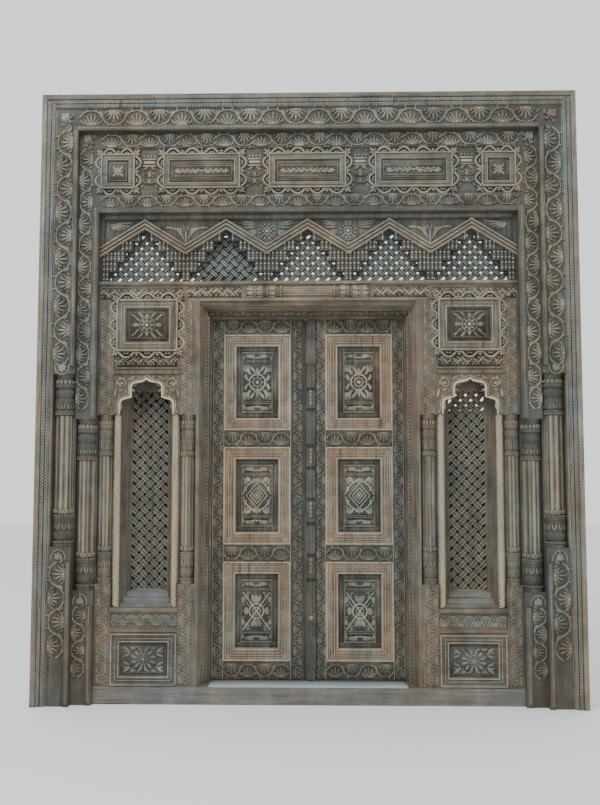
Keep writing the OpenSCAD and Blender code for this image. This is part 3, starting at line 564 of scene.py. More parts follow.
def edging(mesh, long, x, z, w, h, depth, across_count, up_count):
    """Sets a ribbon round a panel: so many sweeps along the top and up the sides."""
    cuts = []
    for turn, length, count, side_x, side_z in (
            (0, w, across_count, -w / 2, h / 2), (180, w, across_count, w / 2, -h / 2),
            (90, h, up_count, -w / 2, -h / 2), (-90, h, up_count, w / 2, h / 2)):
        a = math.radians(turn)
        for i in range(count):
            at = length * i / count
            cuts.append((mesh, seat(x + side_x + math.cos(a) * at, z + side_z + math.sin(a) * at, depth, turn)
                         @ Matrix.Scale(length / count / long, 4, Vector((1, 0, 0)))))
    return cuts


def corner_leaves(name, size, high):
    """Three leaves fanned out over the corner of a panel."""
    cut = bmesh.new()
    leaf(cut, 0, 0, 45, size, size * 0.42, high, 0)
    leaf(cut, 0, 0, 5, size * 0.8, size * 0.3, high * 0.85, -30)
    leaf(cut, 0, 0, 85, size * 0.8, size * 0.3, high * 0.85, 30)
    return motif(name, cut)


def corners(mesh, x, z, w, h, depth):
    """Sets a carving on the four corners of a panel, each turned outwards."""
    return [(mesh, seat(x + sx * w / 2, z + sz * h / 2, depth, t))
            for sx, sz, t in ((1, 1, 0), (-1, 1, 90), (-1, -1, 180), (1, -1, -90))]


frieze_z, frieze_high = 3012, 206
end_x, end_wide = 1093, 198
long_x, long_wide = 608.67, 446.67
field_deep, crest_deep = 49, 62
sweep = 110
frieze_ribbon = ribbon("frieze_ribbon", sweep, 30, 16)
frieze_leaf = corner_leaves("frieze_leaf", 40, 18)
# Each frieze panel gets dark flats in its hollow and under its field: painted shade.
cuts = []
for x, w in ((-end_x, end_wide), (-long_x, long_wide), (0, long_wide), (long_x, long_wide),
             (end_x, end_wide)):
    cuts += edging(frieze_ribbon, sweep, x, frieze_z, w, frieze_high, crest_deep, max(2, round(w / 112)), 2)
    cuts += corners(frieze_leaf, x, frieze_z, w, frieze_high, 60)
    cuts.append((rules("frieze_rules", w, frieze_high, ((5, 7, 3),)), seat(x, frieze_z, 41)))
    cuts.append((rules("frieze_rules", w, frieze_high, ((34, 6, 4),)), seat(x, frieze_z, 46.5)))
    cuts.append((shade_plate("frieze_hollow", w, frieze_high, 40, 8), seat(x, frieze_z, 55)))
    cuts.append((shade_plate("frieze_field", w, frieze_high, 52, 51), seat(x, frieze_z, field_deep)))
cut = bmesh.new()
block(cut, 0, 34, 78, 12, 10)
block(cut, 0, 52, 64, 18, 14)
block(cut, 0, 72, 76, 12, 10)
for x in (-24, -8, 8, 24):
    leaf(cut, x, 80, 90, 22, 13, 9, 0, 3)
leaf(cut, -4, 26, 200, 34, 16, 10, 60)
leaf(cut, 4, 26, -20, 34, 16, 10, -60)
for hand in (-1, 1):
    scroll(cut, hand * 19, -14, 19, 90, hand, 6, 10)
    scroll(cut, hand * 19, -58, 18, -90, -hand, 5.5, 9)
    leaf(cut, hand * 30, -74, 90 - hand * 160, 24, 12, 8, 0, 3)
leaf(cut, 0, -2, -90, 36, 16, 11)
leaf(cut, 0, -40, -90, 34, 14, 10)
scroll_block = motif("scroll_block", cut)
block_stretch = Matrix.Scale(1.22, 4, Vector((1, 0, 0)))
cuts += [(scroll_block, seat(x, frieze_z, crest_deep) @ block_stretch)
         for x in (-912.5, -304.33, 304.33, 912.5)]
cut = bmesh.new()
for hand in (-1, 1):
    strand(cut, [(hand * 8 * i, 5 * math.sin(i * math.pi / 4)) for i in range(17)], 6, 5)
    for i in range(8):
        sway = (-1) ** i
        leaf(cut, hand * (8 + 15 * i), 0, 90 - hand * (90 - sway * 42), 30, 12, 5, -hand * sway * 50, 3)
        leaf(cut, hand * (15 + 15 * i), 0, 90 - hand * (90 + sway * 30), 24, 10, 5, hand * sway * 40, 3)
    leaf(cut, hand * 128, 0, 90 - hand * 90, 32, 18, 5)
    leaf(cut, hand * 126, 0, 90 - hand * 50, 26, 12, 5, -hand * 30)
    leaf(cut, hand * 126, 0, 90 - hand * 130, 26, 12, 5, hand * 30)
    strand(cut, [(-160, hand * 30), (160, hand * 30)], 5, 4)
    strand(cut, [(-160, hand * 42), (160, hand * 42)], 4, 3.5)
bead(cut, 0, 0, 8, 5.5)
twist = motif("twist_field", cut)
cuts += [(twist, seat(x, frieze_z, field_deep)) for x in (-long_x, 0, long_x)]
cut = bmesh.new()
for t in range(4):
    leaf(cut, 0, 0, 45 + 90 * t, 48, 16, 5.5)
    leaf(cut, 0, 0, 90 * t, 34, 12, 5)
bead(cut, 0, 0, 6, 5)
cross_field = motif("cross_field", cut)
cuts += [(cross_field, seat(x, frieze_z, field_deep)) for x in (-end_x, end_x)]
carve("frieze_carving", "portal", frieze_cut, cuts)


# Vine rail: a narrow board under the frieze, sawn from one beam and carved with the same vine. It
# lies between the inner posts, over the row of triangles.
rail_wave, rail_z = 214, 2837
rail_vine = vine("rail_vine", rail_wave / 2, 70, 9)
finish_node(beam_wood, "vine_rail")
carve("vine_rail_carving", "portal", beam_cut,
      run(rail_vine, -inner_head_end, inner_head_end, rail_wave, rail_z, inner_vine_deep, False))


# Corbel row: a back plate with stepped tiers of hanging spindles, a zigzag moulding pinned over it,
# and carved boards in the triangles above. The five openings are closed by a woven lattice of
# slats at 45 degrees; a board behind the second one lets no light through.
row_wood = timber("row_wood", (0.045, 0.048, 0.045), (0.092, 0.091, 0.082), (0.247, 0.237, 0.209), "z", 0.26)
row_cut = timber("row_carved", (0.035, 0.036, 0.035), (0.125, 0.123, 0.110), (0.314, 0.304, 0.266), "z", 0.0)
zigzag_wood = timber("zigzag_wood", (0.062, 0.056, 0.048), (0.145, 0.127, 0.101), (0.304, 0.274, 0.218),
                     "x", 0.55)
slat_wood = timber("slat_wood", (0.037, 0.045, 0.044), (0.092, 0.100, 0.094), (0.209, 0.218, 0.198), "x", 0.0)
finish_node(row_wood, "spandrel_board", "corbel_board")
finish_node(zigzag_wood, "zigzag_moulding")
# The boards behind the lattices are given a lighter colour, painted light that lifts the shade in the gaps
# between the slats.
dark_gap = timber("lattice_gap", (0.150, 0.143, 0.122), (0.175, 0.166, 0.143), (0.218, 0.209, 0.180),
                  "z", 0.1)
finish_node(dark_gap, "upper_lattice")
cut = bmesh.new()
for z, r, h in ((-4, 5, 8), (-14, 8.5, 12), (-30, 6.5, 9), (-44, 8.5, 12), (-54, 4.5, 8)):
    bead(cut, 0, z, r, h, 6)
strand(cut, [(0, 0), (0, -60)], 8, 6)
spindle = motif("spindle", cut)
tooth_pitch, tooth_slope = 470, 0.6255  # width of one triangle and the rise of its sides
row_foot, row_end, zigzag_top = 2377, 1190, 2740
tier_high, tier_out = 60, 5
cuts = []
for k in range(5):
    for i in range(-3, 3):
        middle, half = (i + 0.5) * tooth_pitch, 23 + 46 * k
        left, right = max(middle - half, -row_end), min(middle + half, row_end)
        count = max(2, round((right - left) / 23))
        for j in range(count):
            x = left + (right - left) * (j + 0.5) / count
            top = row_foot + (k + 1) * tier_high
            from_point = abs((x + tooth_pitch / 2) % tooth_pitch - tooth_pitch / 2)
            crest = zigzag_top - 59 - tooth_slope * from_point
            if top - 30 < crest:
                cuts.append((spindle, seat(x, min(top, crest + 14), 116 - tier_out * k)))
carve("spindle_rows", "portal", row_cut, cuts)


def slat(name, half_long, wide, ridge_at, ridge_wide):
    """The stretch of a slat that shows between two crossings: a thin bowed body with two ridges."""
    def along(off):
        return [(x, off) for x in (-half_long, -20, 0, 20, half_long)]

    cut = bmesh.new()
    strand(cut, along(0), wide, lambda t: 0.4 + 2.6 * math.sin(math.pi * t), (1, 1, 1), -5)
    for off in (-ridge_at, ridge_at):
        strand(cut, along(off), ridge_wide, lambda t: 2.5 + 5 * math.sin(math.pi * t), (0.8, 1.0, 0.8), -2)
    return motif(name, cut)


weave = slat("weave", 32, 30, 7, 11)
close_weave = slat("close_weave", 34, 37, 9, 12)
slat_pitch, close_below = 43, 1640


def woven(x, z, half_w, half_h, depth):
    """A lattice of slats laid over and under each other, wider and closer in the windows' lower part."""
    step = slat_pitch * math.sqrt(2) / 2
    nx, nz = int(half_w / step), int(half_h / step)
    cuts = []
    for i in range(-nx, nx + 1):
        for j in range(-nz, nz + 1):
            if (i + j) % 2:
                at = z + j * step
                piece = weave if at > close_below else close_weave
                cuts.append((piece, seat(x + i * step, at, depth, 45 if i % 2 else -45)))
    return cuts


def border(x, z, w, h, depth, wide):
    """A thin frame that holds the ends of the slats."""
    cut = bmesh.new()
    for s in (-1, 1):
        block(cut, 0, s * (h - wide) / 2, w, wide, 3, 1.0, -12)
        block(cut, s * (w - wide) / 2, 0, wide, h - 2 * wide, 3, 1.0, -12)
    return [(motif("lattice_border", cut), seat(x, z, depth))]


# A board behind the second opening, set to the palest level, paints light into the shaded gaps of the
# lattice.
cut = bmesh.new()
block(cut, 0, 0, 300, 270, 1, 1.0, -3)
painted_light_screen = set_wear_and_shade(motif("painted_light_screen", cut), 1.0)
cuts = woven(0, 2527, 1175, 150, 156) + border(0, 2527, 2350, 298, 158, 12)
cuts.append((painted_light_screen, seat(-tooth_pitch, 2520, 170)))
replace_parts(carve("row_weave", "portal", slat_wood, cuts), "upper_lattice")

cut = bmesh.new()
strand(cut, [(0, -78), (0, 10)], 9, 7)
strand(cut, [(-150, 62), (150, 62)], 4, 3)
for hand in (-1, 1):
    for y, a, long in ((-58, 66, 66), (-46, 56, 82), (-34, 47, 96), (-22, 38, 112), (-10, 29, 130),
                       (2, 20, 142), (14, 11, 150), (24, 3, 140), (10, 76, 40)):
        leaf(cut, hand * 5, y, 90 - hand * (90 - a), long, 9, 6, -hand * 10, 3)
    scroll(cut, hand * 38, 16, 13, 90, hand, 5, 6)
palmette = motif("palmette", cut)
cut = bmesh.new()
bead(cut, 0, 0, 11, 8, 10)
for ring, count, r in ((0, 8, 12), (1, 12, 32)):
    for i in range(count):
        a = 360 * (i + 0.5 * ring) / count
        leaf(cut, r * math.cos(math.radians(a)), r * math.sin(math.radians(a)), a, 20, 13, 7, 0, 3)
strand(cut, arc(0, 0, 55, 0, 360, 24), 5, 6)
for hand in (-1, 1):
    for y, a, long in ((4, -24, 70), (58, 16, 132), (30, 4, 110), (12, -14, 92), (44, 12, 124),
                       (-8, -34, 50)):
        leaf(cut, hand * 58, y * 0.7, 90 - hand * (90 - a), long * 0.8, 14, 6, hand * -16)
leaf(cut, 0, -60, -90, 34, 18, 6)
rosette = motif("rosette", cut)
cut = bmesh.new()
for a, long in ((8, 150), (-2, 132), (-12, 110), (-24, 84), (-38, 56)):
    leaf(cut, 0, 22, a, long, 12, 6, -8)
strand(cut, [(-8, -60), (-8, 30)], 5, 5)
half_palm = motif("half_palm", cut)
spandrel_deep, tooth_row_z = 105, 2755
cuts = [(palmette, seat(x, 2664, spandrel_deep)) for x in (-1.5 * tooth_pitch, 1.5 * tooth_pitch)]
cuts += [(rosette, seat(x, 2672, spandrel_deep)) for x in (-tooth_pitch / 2, tooth_pitch / 2)]
cuts += both([(half_palm, seat(1150, 2690, spandrel_deep) @ FLIP)])
tooth_row = beads("tooth_row", 9, 10, 3, 12)
cuts += run(tooth_row, -1170, 1170, 108, tooth_row_z, 88, False)
carve("spandrel_carving", "portal", row_cut, cuts)


# Lintel: one beam across the whole portal with a worn ledge, carved with running leaves at the
# ends and over the door with leaf scrolls each side of a turned, fluted half column laid flat.
lintel_wood = timber("lintel_wood", (0.053, 0.045, 0.036), (0.135, 0.115, 0.088), (0.342, 0.304, 0.237),
                     "x", 0.45)
lintel_cut = timber("lintel_carved", (0.045, 0.040, 0.034), (0.145, 0.128, 0.102), (0.342, 0.309, 0.245),
                    "x", 0.05)
finish_node(lintel_wood, "lintel", "lintel_column")


def diagonals(name, long, wide, high, pitch=26):
    """Leaves laid slantwise by turns, as in a plait, with curled tips and beads in the bays."""
    cut = bmesh.new()
    block(cut, long / 2, 0, long, wide * 1.08, 0.7, 1.0)
    count = max(2, round(long / pitch))
    pitch = long / count
    for i in range(count):
        u, up = pitch * (i + 0.5), 1 if i % 2 else -1
        for off, s in ((0, 1.0), (pitch * 0.34, 0.72), (-pitch * 0.3, 0.6)):
            leaf(cut, u + off - pitch * 0.4, -up * wide * 0.44 * s, up * 50, wide * 0.95 * s,
                 pitch * 0.34, high, -up * 24)
        leaf(cut, u + pitch * 0.34, up * wide * 0.46, -up * 120, wide * 0.36,
             pitch * 0.30, high * 0.85, up * 70, 3)
        bead(cut, u + pitch * 0.30, -up * wide * 0.36, pitch * 0.15, high, 6)
    return motif(name, cut)


plait_long, plait_deep = 156, 95
plait = diagonals("plait", plait_long, 62, 6, 31)
cuts = both(run(plait, 716, row_end, plait_long, 2308, plait_deep, False)
            + run(plait, 380, 690, plait_long, 2315, plait_deep, False))
cuts += run(bead_row, -680, 680, bead_wave, 2271, 86, False)
lintel_axis_deep, lintel_axis_z = 107, 2316.5


def laid(x, hand):
    """Sets a turned carving on the axis of the lintel column."""
    return (Matrix.Translation((x / 1000, (lintel_axis_deep - front) / 1000, lintel_axis_z / 1000))
            @ Matrix.Rotation(hand * math.pi / 2, 4, "Y") @ Matrix.Scale(0.001, 4))


flute_long = 290
flute = reeds("flute", 32, flute_long, 14, 3)
lintel_cup = cup("lintel_cup", 35, 44, 9, 6)
lintel_ring = cup("lintel_ring", 34, 10, 16, 6)
cuts.append((flute, laid(-flute_long / 2, 1)))
for hand in (-1, 1):
    for at, piece in ((350, lintel_cup), (302, lintel_ring), (296, lintel_cup), (236, lintel_ring),
                      (222, lintel_cup), (158, lintel_ring)):
        cuts.append((piece, laid(hand * at, -hand)))
carve("lintel_carving", "portal", lintel_cut, cuts)


# Side bays: carved posts with turned columns at each side of a window, a moulded panel above, a
# board cut to a cusped arch, a splayed window frame with twisted bars, a woven lattice backed by
# plain boards, a stepped sill, an apron rail and a moulded panel at the foot.
bay_tones = ((0.053, 0.046, 0.037), (0.130, 0.113, 0.088), (0.323, 0.290, 0.228))
bay_wood = timber("bay_wood", *bay_tones, "z", 0.38)
bay_rail = timber("bay_rail", *bay_tones, "x", 0.38)
bay_cut = timber("bay_carved", (0.045, 0.041, 0.035), (0.140, 0.125, 0.100), (0.342, 0.312, 0.249), "z", 0.0)
finish_node(bay_wood, "column_outer_left", "column_outer_right", "column_inner_left", "column_inner_right",
            "upper_panel_left", "upper_panel_right", "arch_board_left", "arch_board_right")
finish_node(bay_rail, "apron_rail_left", "apron_rail_right", "lower_panel_left", "lower_panel_right")
finish_node(dark_gap, "window_lattice_left", "window_lattice_right", "window_back_board_left",
            "window_back_board_right")
finish_node(bay_wood, "window_frame_left", "window_frame_right")
# The sill's cool grey is partly painted sky light on its up-facing slope.
sill_grey = timber("sill_grey", (0.075, 0.077, 0.075), (0.15, 0.152, 0.145), (0.314, 0.318, 0.304), "x", 0.5)
finish_node(sill_grey, "window_sill_left", "window_sill_right")
shallow_cut = timber("bay_shallow", (0.072, 0.066, 0.056), (0.142, 0.125, 0.100), (0.245, 0.222, 0.178),
                     "z", 0.06)
outer_column_x, inner_column_x, column_deep = 1153, 690, 85
side_wave, low_wave = 94, 100
side_vine = vine("side_vine", side_wave / 2, 62, 5)
low_vine = vine("low_vine", low_wave / 2, 64, 5)
cuts = []
for mesh, low, high, wave in ((side_vine, 1616, 2250, side_wave), (low_vine, 110, 640, low_wave)):
    for x in (outer_column_x, inner_column_x):
        cuts += run(mesh, low, high, wave, x, column_deep, True)
carve("bay_column_carving", "portal", shallow_cut, both(cuts))
turned_foot, turned_top = 657, 1608
cuts = dress(outer_column_x, 128, 43, turned_foot, turned_top) + dress(683, 130, 45, turned_foot, turned_top)
carve("bay_turned_carving", "portal", turned_cut, both(cuts))

bay_x = 919
panel_z, panel_wide, panel_high = 2122, 358, 305
panel_sweep = 124
panel_ribbon = ribbon("panel_ribbon", panel_sweep, 32, 18)
panel_leaf = corner_leaves("panel_leaf", 38, 18)
cut = bmesh.new()
block(cut, 0, 0, 212, 160, 0.7, 1.0)
for i in range(8):
    leaf(cut, 14 * math.cos(i * math.pi / 4), 14 * math.sin(i * math.pi / 4), 45 * i, 26, 18, 7.5, 0, 3)
bead(cut, 0, 0, 13, 8, 10)
strand(cut, arc(0, 0, 44, 0, 360, 24), 6, 7)
for a, long in ((0, 52), (90, 28), (180, 52), (270, 28)):
    c = math.radians(a)
    for b in (-30, -15, 0, 15, 30):
        leaf(cut, 46 * math.cos(c), 44 * math.sin(c), a + b * (1 if a % 180 else 0.7),
             long - abs(b) * 0.4, 11, 7.5, -b * 0.4, 3)
    for hand in (-1, 1):
        d = math.radians(a + hand * 32)
        leaf(cut, 50 * math.cos(d), 50 * math.sin(d), a + hand * 20, 44, 14, 7, hand * 70)
for sx in (-1, 1):
    for sy in (-1, 1):
        leaf(cut, sx * 96, sy * 68, 90 + sx * (90 + sy * 36), 40, 15, 7, 0, 3)
    strand(cut, [(-100, sx * 74), (100, sx * 74)], 4, 5)
    strand(cut, [(sx * 102, -72), (sx * 102, 72)], 4, 5)
petal_field = motif("petal_field", cut)
cuts = edging(panel_ribbon, panel_sweep, bay_x, panel_z, panel_wide, panel_high, 93, 3, 3)
cuts += corners(panel_leaf, bay_x, panel_z, panel_wide, panel_high, 90)
outer_rule = rules("upper_outer_rule", panel_wide, panel_high, ((7, 8, 3),))
inner_rules = rules("upper_inner_rules", panel_wide, panel_high, ((30, 6, 3), (48, 7, 4)))
cuts += [(outer_rule, seat(bay_x, panel_z, 72)), (inner_rules, seat(bay_x, panel_z, 78))]
# Dark flats in the hollow and under the carved field are painted shade.
cuts.append((shade_plate("upper_hollow", panel_wide, panel_high, 60, 12), seat(bay_x, panel_z, 88)))
cuts.append((petal_field, seat(bay_x, panel_z, 79) @ Matrix.Scale(0.96, 4)))
cuts.append((shade_plate("upper_field", panel_wide, panel_high, 74, 78), seat(bay_x, panel_z, 79)))
under_plait_long = 150
under_plait = diagonals("under_plait", under_plait_long, 64, 7, 25)
cuts += run(under_plait, 745, 1093, under_plait_long, 1918, plait_deep, False)
carve("upper_panel_carving", "portal", bay_cut, both(cuts))

# The arch's edge is worn almost white, and its spandrels hold scrolls and leaves.
edge_wood = timber("arch_edge", (0.090, 0.078, 0.060), (0.235, 0.204, 0.152), (0.440, 0.392, 0.300), "z", 0.5)
cut = bmesh.new()
scroll(cut, 40, -42, 34, 200, -1, 6, 7)
scroll(cut, 108, -34, 26, 160, 1, 5, 6)
for x, y, a, long in ((10, -70, 250, 60), (24, -100, 270, 70), (30, -130, 275, 60), (70, -22, 20, 60),
                      (20, -24, 60, 30), (84, -66, -40, 40), (8, -20, -70, 44), (30, -160, 270, 40)):
    leaf(cut, x, y, a, long, 17, 6.5, 24)
for x, y, a, long in ((56, -70, 210, 44), (62, -14, 180, 40), (132, -14, 200, 40), (52, -112, 220, 34),
                      (14, -186, 250, 34), (34, -60, 120, 30), (24, -150, 60, 28), (150, -8, 160, 34),
                      (66, -100, 100, 30)):
    leaf(cut, x, y, a, long, 15, 6, -30, 3)
arch_scroll = motif("arch_scroll", cut)
arch_deep, arch_foot = 88, 1608
cuts = [(arch_scroll, seat(738, 1828, arch_deep)), (arch_scroll, seat(1100, 1828, arch_deep) @ FLIP)]
carve("arch_carving", "portal", bay_cut, both(cuts))
half_arch = [(150, 0)] + arc(112, 54, 38, 0, 90, 6) + [(84, 100)] + arc(52, 150, 34, 0, 80, 6)
half_arch += [(28, 188), (10, 194), (0, 206)]
edge_right = [(x + 5, y + 3) for x, y in half_arch]
line_right = [(x + 17, y + 13) for x, y in half_arch[:-2]]
cut = bmesh.new()
strand(cut, edge_right + [(-x, y) for x, y in reversed(edge_right[:-1])], 16, 8)
strand(cut, line_right + [(0, 226)] + [(-x, y) for x, y in reversed(line_right)], 5, 4)
arch_line = motif("arch_line", cut)
carve("arch_edging", "portal", edge_wood, both([(arch_line, seat(bay_x, arch_foot, arch_deep))]))

# Twisted bars stand at the front edges of the window frame, worn to a cream colour.
rope_wood = timber("rope_wood", (0.090, 0.074, 0.050), (0.300, 0.256, 0.178), (0.540, 0.476, 0.346),
                   "z", 0.35)
rope_radius, turn_high, turn_pitch, turns, rope_slope = 18.5, 5.5, 12, 5, 0.42
cut = bmesh.new()
for i in range(turns):
    turn = bmesh.ops.create_cone(cut, segments=12, radius1=rope_radius, radius2=rope_radius, depth=turn_high,
                                 cap_ends=True)["verts"]
    bmesh.ops.translate(cut, verts=turn, vec=(0, 0, turn_pitch * (i + 0.5)))
    for v in turn:
        v.co.z += v.co.x * rope_slope
wear_and_shade = cut.verts.layers.float.new("wear_and_shade")
for v in cut.verts:
    v[wear_and_shade] = 0.85
rope_turns = bpy.data.meshes.new("rope_turns")
cut.to_mesh(rope_turns)
cut.free()
cuts = [(rope_turns, stand(x, 532 + turns * turn_pitch * i, 111)) for x in (754, 1084) for i in range(18)]
carve("rope_bars", "portal", rope_wood, both(cuts))

# The window lattice is woven of slats with two ridges each and held by a thin frame.
lattice_cut = timber("lattice_slats", (0.070, 0.066, 0.057), (0.092, 0.085, 0.070), (0.223, 0.209, 0.173),
                     "z", 0.0)
window_z = 1182
cuts = woven(bay_x, window_z, 118, 590, 230) + border(bay_x, window_z, 230, 1166, 226, 12)
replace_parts(carve("window_weave", "portal", lattice_cut, both(cuts)),
            "window_lattice_left", "window_lattice_right")

# The apron rail carries a low vine, the panel at the foot a ring of petals between scrolls, and a
# raised line runs up each side of the reveal beside the lattice.
low_cut = timber("apron_carved", (0.062, 0.069, 0.068), (0.135, 0.138, 0.128), (0.285, 0.283, 0.255),
                 "x", 0.03)
apron_wave, apron_z = 92, 457
apron_vine = vine("apron_vine", apron_wave / 2, 62, 6)
cuts = run(apron_vine, 734, 1104, apron_wave, apron_z, 95, False)
lower_beads_long = 96
lower_beads = beads("lower_beads", lower_beads_long / 8, 8, 3.5, 8)
for z in (376, 107):
    cuts += run(lower_beads, 738, 1100, lower_beads_long, z, 84, False)
edge_foot, edge_long, edge_deep = 612, 1140, 216
cut = bmesh.new()
strand(cut, [(0, 0), (edge_long, 0)], 9, 5)
edge_line = motif("lattice_edge", cut)
cut = bmesh.new()
block(cut, 0, 0, 232, 148, 0.7, 1.0)
strand(cut, arc(0, 0, 30, 0, 360, 16), 5, 6)
for i in range(8):
    a = i * 45
    leaf(cut, 8 * math.cos(math.radians(a)), 8 * math.sin(math.radians(a)), a, 18, 11, 6, 0, 3)
bead(cut, 0, 0, 8, 8, 8)
for i in range(12):
    a = i * 30 + 15
    c = math.radians(a)
    leaf(cut, 34 * math.cos(c), 32 * math.sin(c), a, 26 + 18 * abs(math.cos(c)), 15, 7, 20, 3)
for sx in (-1, 1):
    for sy in (-1, 1):
        leaf(cut, sx * 110, sy * 66, 90 + sx * (90 + sy * 30), 54, 20, 7, sx * sy * 40)
        leaf(cut, sx * 112, sy * 40, 90 + sx * (90 - sy * 10), 34, 14, 6, -sx * sy * 40, 3)
        leaf(cut, sx * 36, sy * 66, 90 + sx * (90 + sy * 20), 36, 14, 6, sx * sy * 40, 3)
        leaf(cut, sx * 110, sy * 12, 90 + sx * (90 - sy * 40), 46, 16, 6, sx * sy * 60)
        leaf(cut, sx * 76, sy * 66, 90 + sx * (90 + sy * 20), 40, 14, 6, -sx * sy * 40)
        scroll(cut, sx * 62, sy * 52, 13, 0, sx * sy, 4, 5, 8)
    strand(cut, [(-112, sx * 70), (112, sx * 70)], 3, 4)
lower_rose = motif("lower_rose", cut)
lower_z, lower_wide, lower_high = 241.5, 378, 293
outer_rule = rules("lower_outer_rule", lower_wide, lower_high, ((8, 8, 3),))
inner_rules = rules("lower_inner_rules", lower_wide, lower_high, ((32, 6, 3), (49, 7, 4)))
cuts += [(outer_rule, seat(bay_x, lower_z, 80)), (inner_rules, seat(bay_x, lower_z, 86))]
# A dark flat in the hollow paints shade there.
cuts.append((shade_plate("lower_hollow", lower_wide, lower_high, 60, 12), seat(bay_x, lower_z, 96)))
cuts.append((lower_rose, seat(bay_x, lower_z, 91)))
cuts += [(edge_line, seat(bay_x + off, edge_foot, edge_deep, 90)) for off in (-113, 113)]
carve("apron_carving", "portal", low_cut, both(cuts))


# Doorway: stepped jambs and a head, mitred, with a band of small diamonds up the inner step and of small
# leaves over the door; and a thick threshold beam whose top is trodden pale and tinted blue-grey, partly
# painted sky light.
jamb_wood = timber("jamb_wood", (0.050, 0.043, 0.034), (0.120, 0.103, 0.080), (0.285, 0.249, 0.190),
                   "z", 0.45)
head_wood = timber("head_wood", (0.048, 0.040, 0.031), (0.120, 0.101, 0.076), (0.314, 0.271, 0.199),
                   "x", 0.45)
tread_wood = timber("tread_wood", (0.073, 0.071, 0.068), (0.128, 0.124, 0.115), (0.275, 0.273, 0.257),
                    "x", 0.48)
finish_node(jamb_wood, "jamb_left", "jamb_right")
finish_node(head_wood, "door_head")
finish_node(tread_wood, "threshold")
step_deep = 153
diamond_wood = timber("diamond_wood", (0.062, 0.037, 0.029), (0.078, 0.050, 0.038), (0.114, 0.081, 0.062),
                      "z", 0.0)
diamond_pitch, diamonds = 20, 6
cut = bmesh.new()
for i in range(diamonds):
    at = diamond_pitch * (i + 0.5)
    block(cut, at, 0, 13, 13, 4, 0.3)
    bmesh.ops.rotate(cut, verts=cut.verts[-8:], cent=(at, 0, 0), matrix=Matrix.Rotation(math.pi / 4, 3, "Z"))
diamond_row = motif("diamond_row", cut)
carve("jamb_diamonds", "portal", diamond_wood,
      both(run(diamond_row, 100, 2170, diamond_pitch * diamonds, 583, step_deep, True)))
head_cut = timber("head_carved", (0.025, 0.025, 0.020), (0.090, 0.082, 0.060), (0.257, 0.228, 0.166),
                  "x", 0.0)
head_wave, head_leaf_z = 72, 2199
head_leaves = vine("head_leaves", head_wave / 2, 25, 4)
cut = bmesh.new()
block(cut, 0, 0, 1160, 27, 0.6, 1.0, -3)
band_ground = set_wear_and_shade(motif("band_ground", cut), 0.0)
cuts = run(head_leaves, -575, 575, head_wave, head_leaf_z, step_deep, False)
cuts.append((band_ground, seat(0, head_leaf_z, step_deep - 0.5)))
carve("head_leaves", "portal", head_cut, cuts)
# A thin skin on the threshold's top, pale blue-grey: partly trodden wear, partly painted sky light on the
# up-facing tread.
pale_tread = timber("pale_tread", (0.163, 0.175, 0.175), (0.23, 0.258, 0.258), (0.323, 0.359, 0.359),
                    "x", 0.2, 0.2)
tread_half, tread_reach, tread_z, tread_thick = 556, 76, 95.6, 0.8
cut = bmesh.new()
for v in bmesh.ops.create_grid(cut, x_segments=60, y_segments=2, size=1)["verts"]:
    swell = 0.5 * math.sin(v.co.x * 9) * (1 - abs(v.co.y))
    v.co = (v.co.x * tread_half, -1 - tread_reach * v.co.y, tread_z + swell)
for f in cut.faces:
    f.smooth = True
extra = bmesh.ops.extrude_face_region(cut, geom=cut.faces[:])["geom"]
raised = [v for v in extra if isinstance(v, bmesh.types.BMVert)]
bmesh.ops.translate(cut, verts=raised, vec=(0, 0, tread_thick))
bmesh.ops.recalc_face_normals(cut, faces=cut.faces)
wear_and_shade = cut.verts.layers.float.new("wear_and_shade")
for v in cut.verts:
    v[wear_and_shade] = 0.9
tread_mesh = bpy.data.meshes.new("tread_wear_and_sky_tint")
cut.to_mesh(tread_mesh)
cut.free()
carve("tread_wear_and_sky_tint", "portal", pale_tread, [(tread_mesh, Matrix.Scale(0.001, 4))])


# Leaves: each is framed by two stiles and four rails carved with vines, round three moulded panels
# whose frames carry two rows of beads and whose raised fields are carved: a roundel at the top, a
# diamond of straps in the middle and crossed straps at the foot.
rail_wood = timber("rail_wood", (0.043, 0.037, 0.031), (0.095, 0.083, 0.066), (0.257, 0.223, 0.171),
                   "x", 0.18)
stile_wood = timber("stile_wood", (0.043, 0.040, 0.035), (0.085, 0.078, 0.065), (0.237, 0.214, 0.171),
                    "z", 0.14)
panel_wood = timber("panel_wood", (0.108, 0.081, 0.061), (0.220, 0.172, 0.128), (0.428, 0.361, 0.272),
                    "z", 0.46)
leaf_cut = timber("leaf_carved", (0.044, 0.049, 0.043), (0.108, 0.104, 0.086), (0.255, 0.240, 0.195),
                  "z", 0.0)
field_cut = timber("field_carved", (0.046, 0.050, 0.046), (0.165, 0.156, 0.130), (0.36, 0.335, 0.275),
                   "z", 0.02)
bead_cut = timber("panel_beads", (0.131, 0.100, 0.077), (0.215, 0.169, 0.130), (0.407, 0.345, 0.261),
                  "z", 0.1)
finish_node(stile_wood, "hanging_stile_left", "hanging_stile_right",
            "meeting_stile_left", "meeting_stile_right")
finish_node(rail_wood, "leaf_rails_left", "leaf_rails_right")
finish_node(panel_wood, "leaf_panel_top_left", "leaf_panel_top_right", "leaf_panel_middle_left",
            "leaf_panel_middle_right", "leaf_panel_bottom_left", "leaf_panel_bottom_right")
leaf_foot, leaf_top, leaf_deep = 106, 2178, 235
stile_wave, leaf_rail_wave, bead_length = 124, 194, 110
hanging_vine = vine("hanging_vine", stile_wave / 2, 56, 6)
meeting_vine = vine("meeting_vine", stile_wave / 2, 52, 6)
leaf_rail_vine = vine("leaf_rail_vine", leaf_rail_wave / 2, 78, 7)
line_foot, line_long = 104, 2076
cut = bmesh.new()
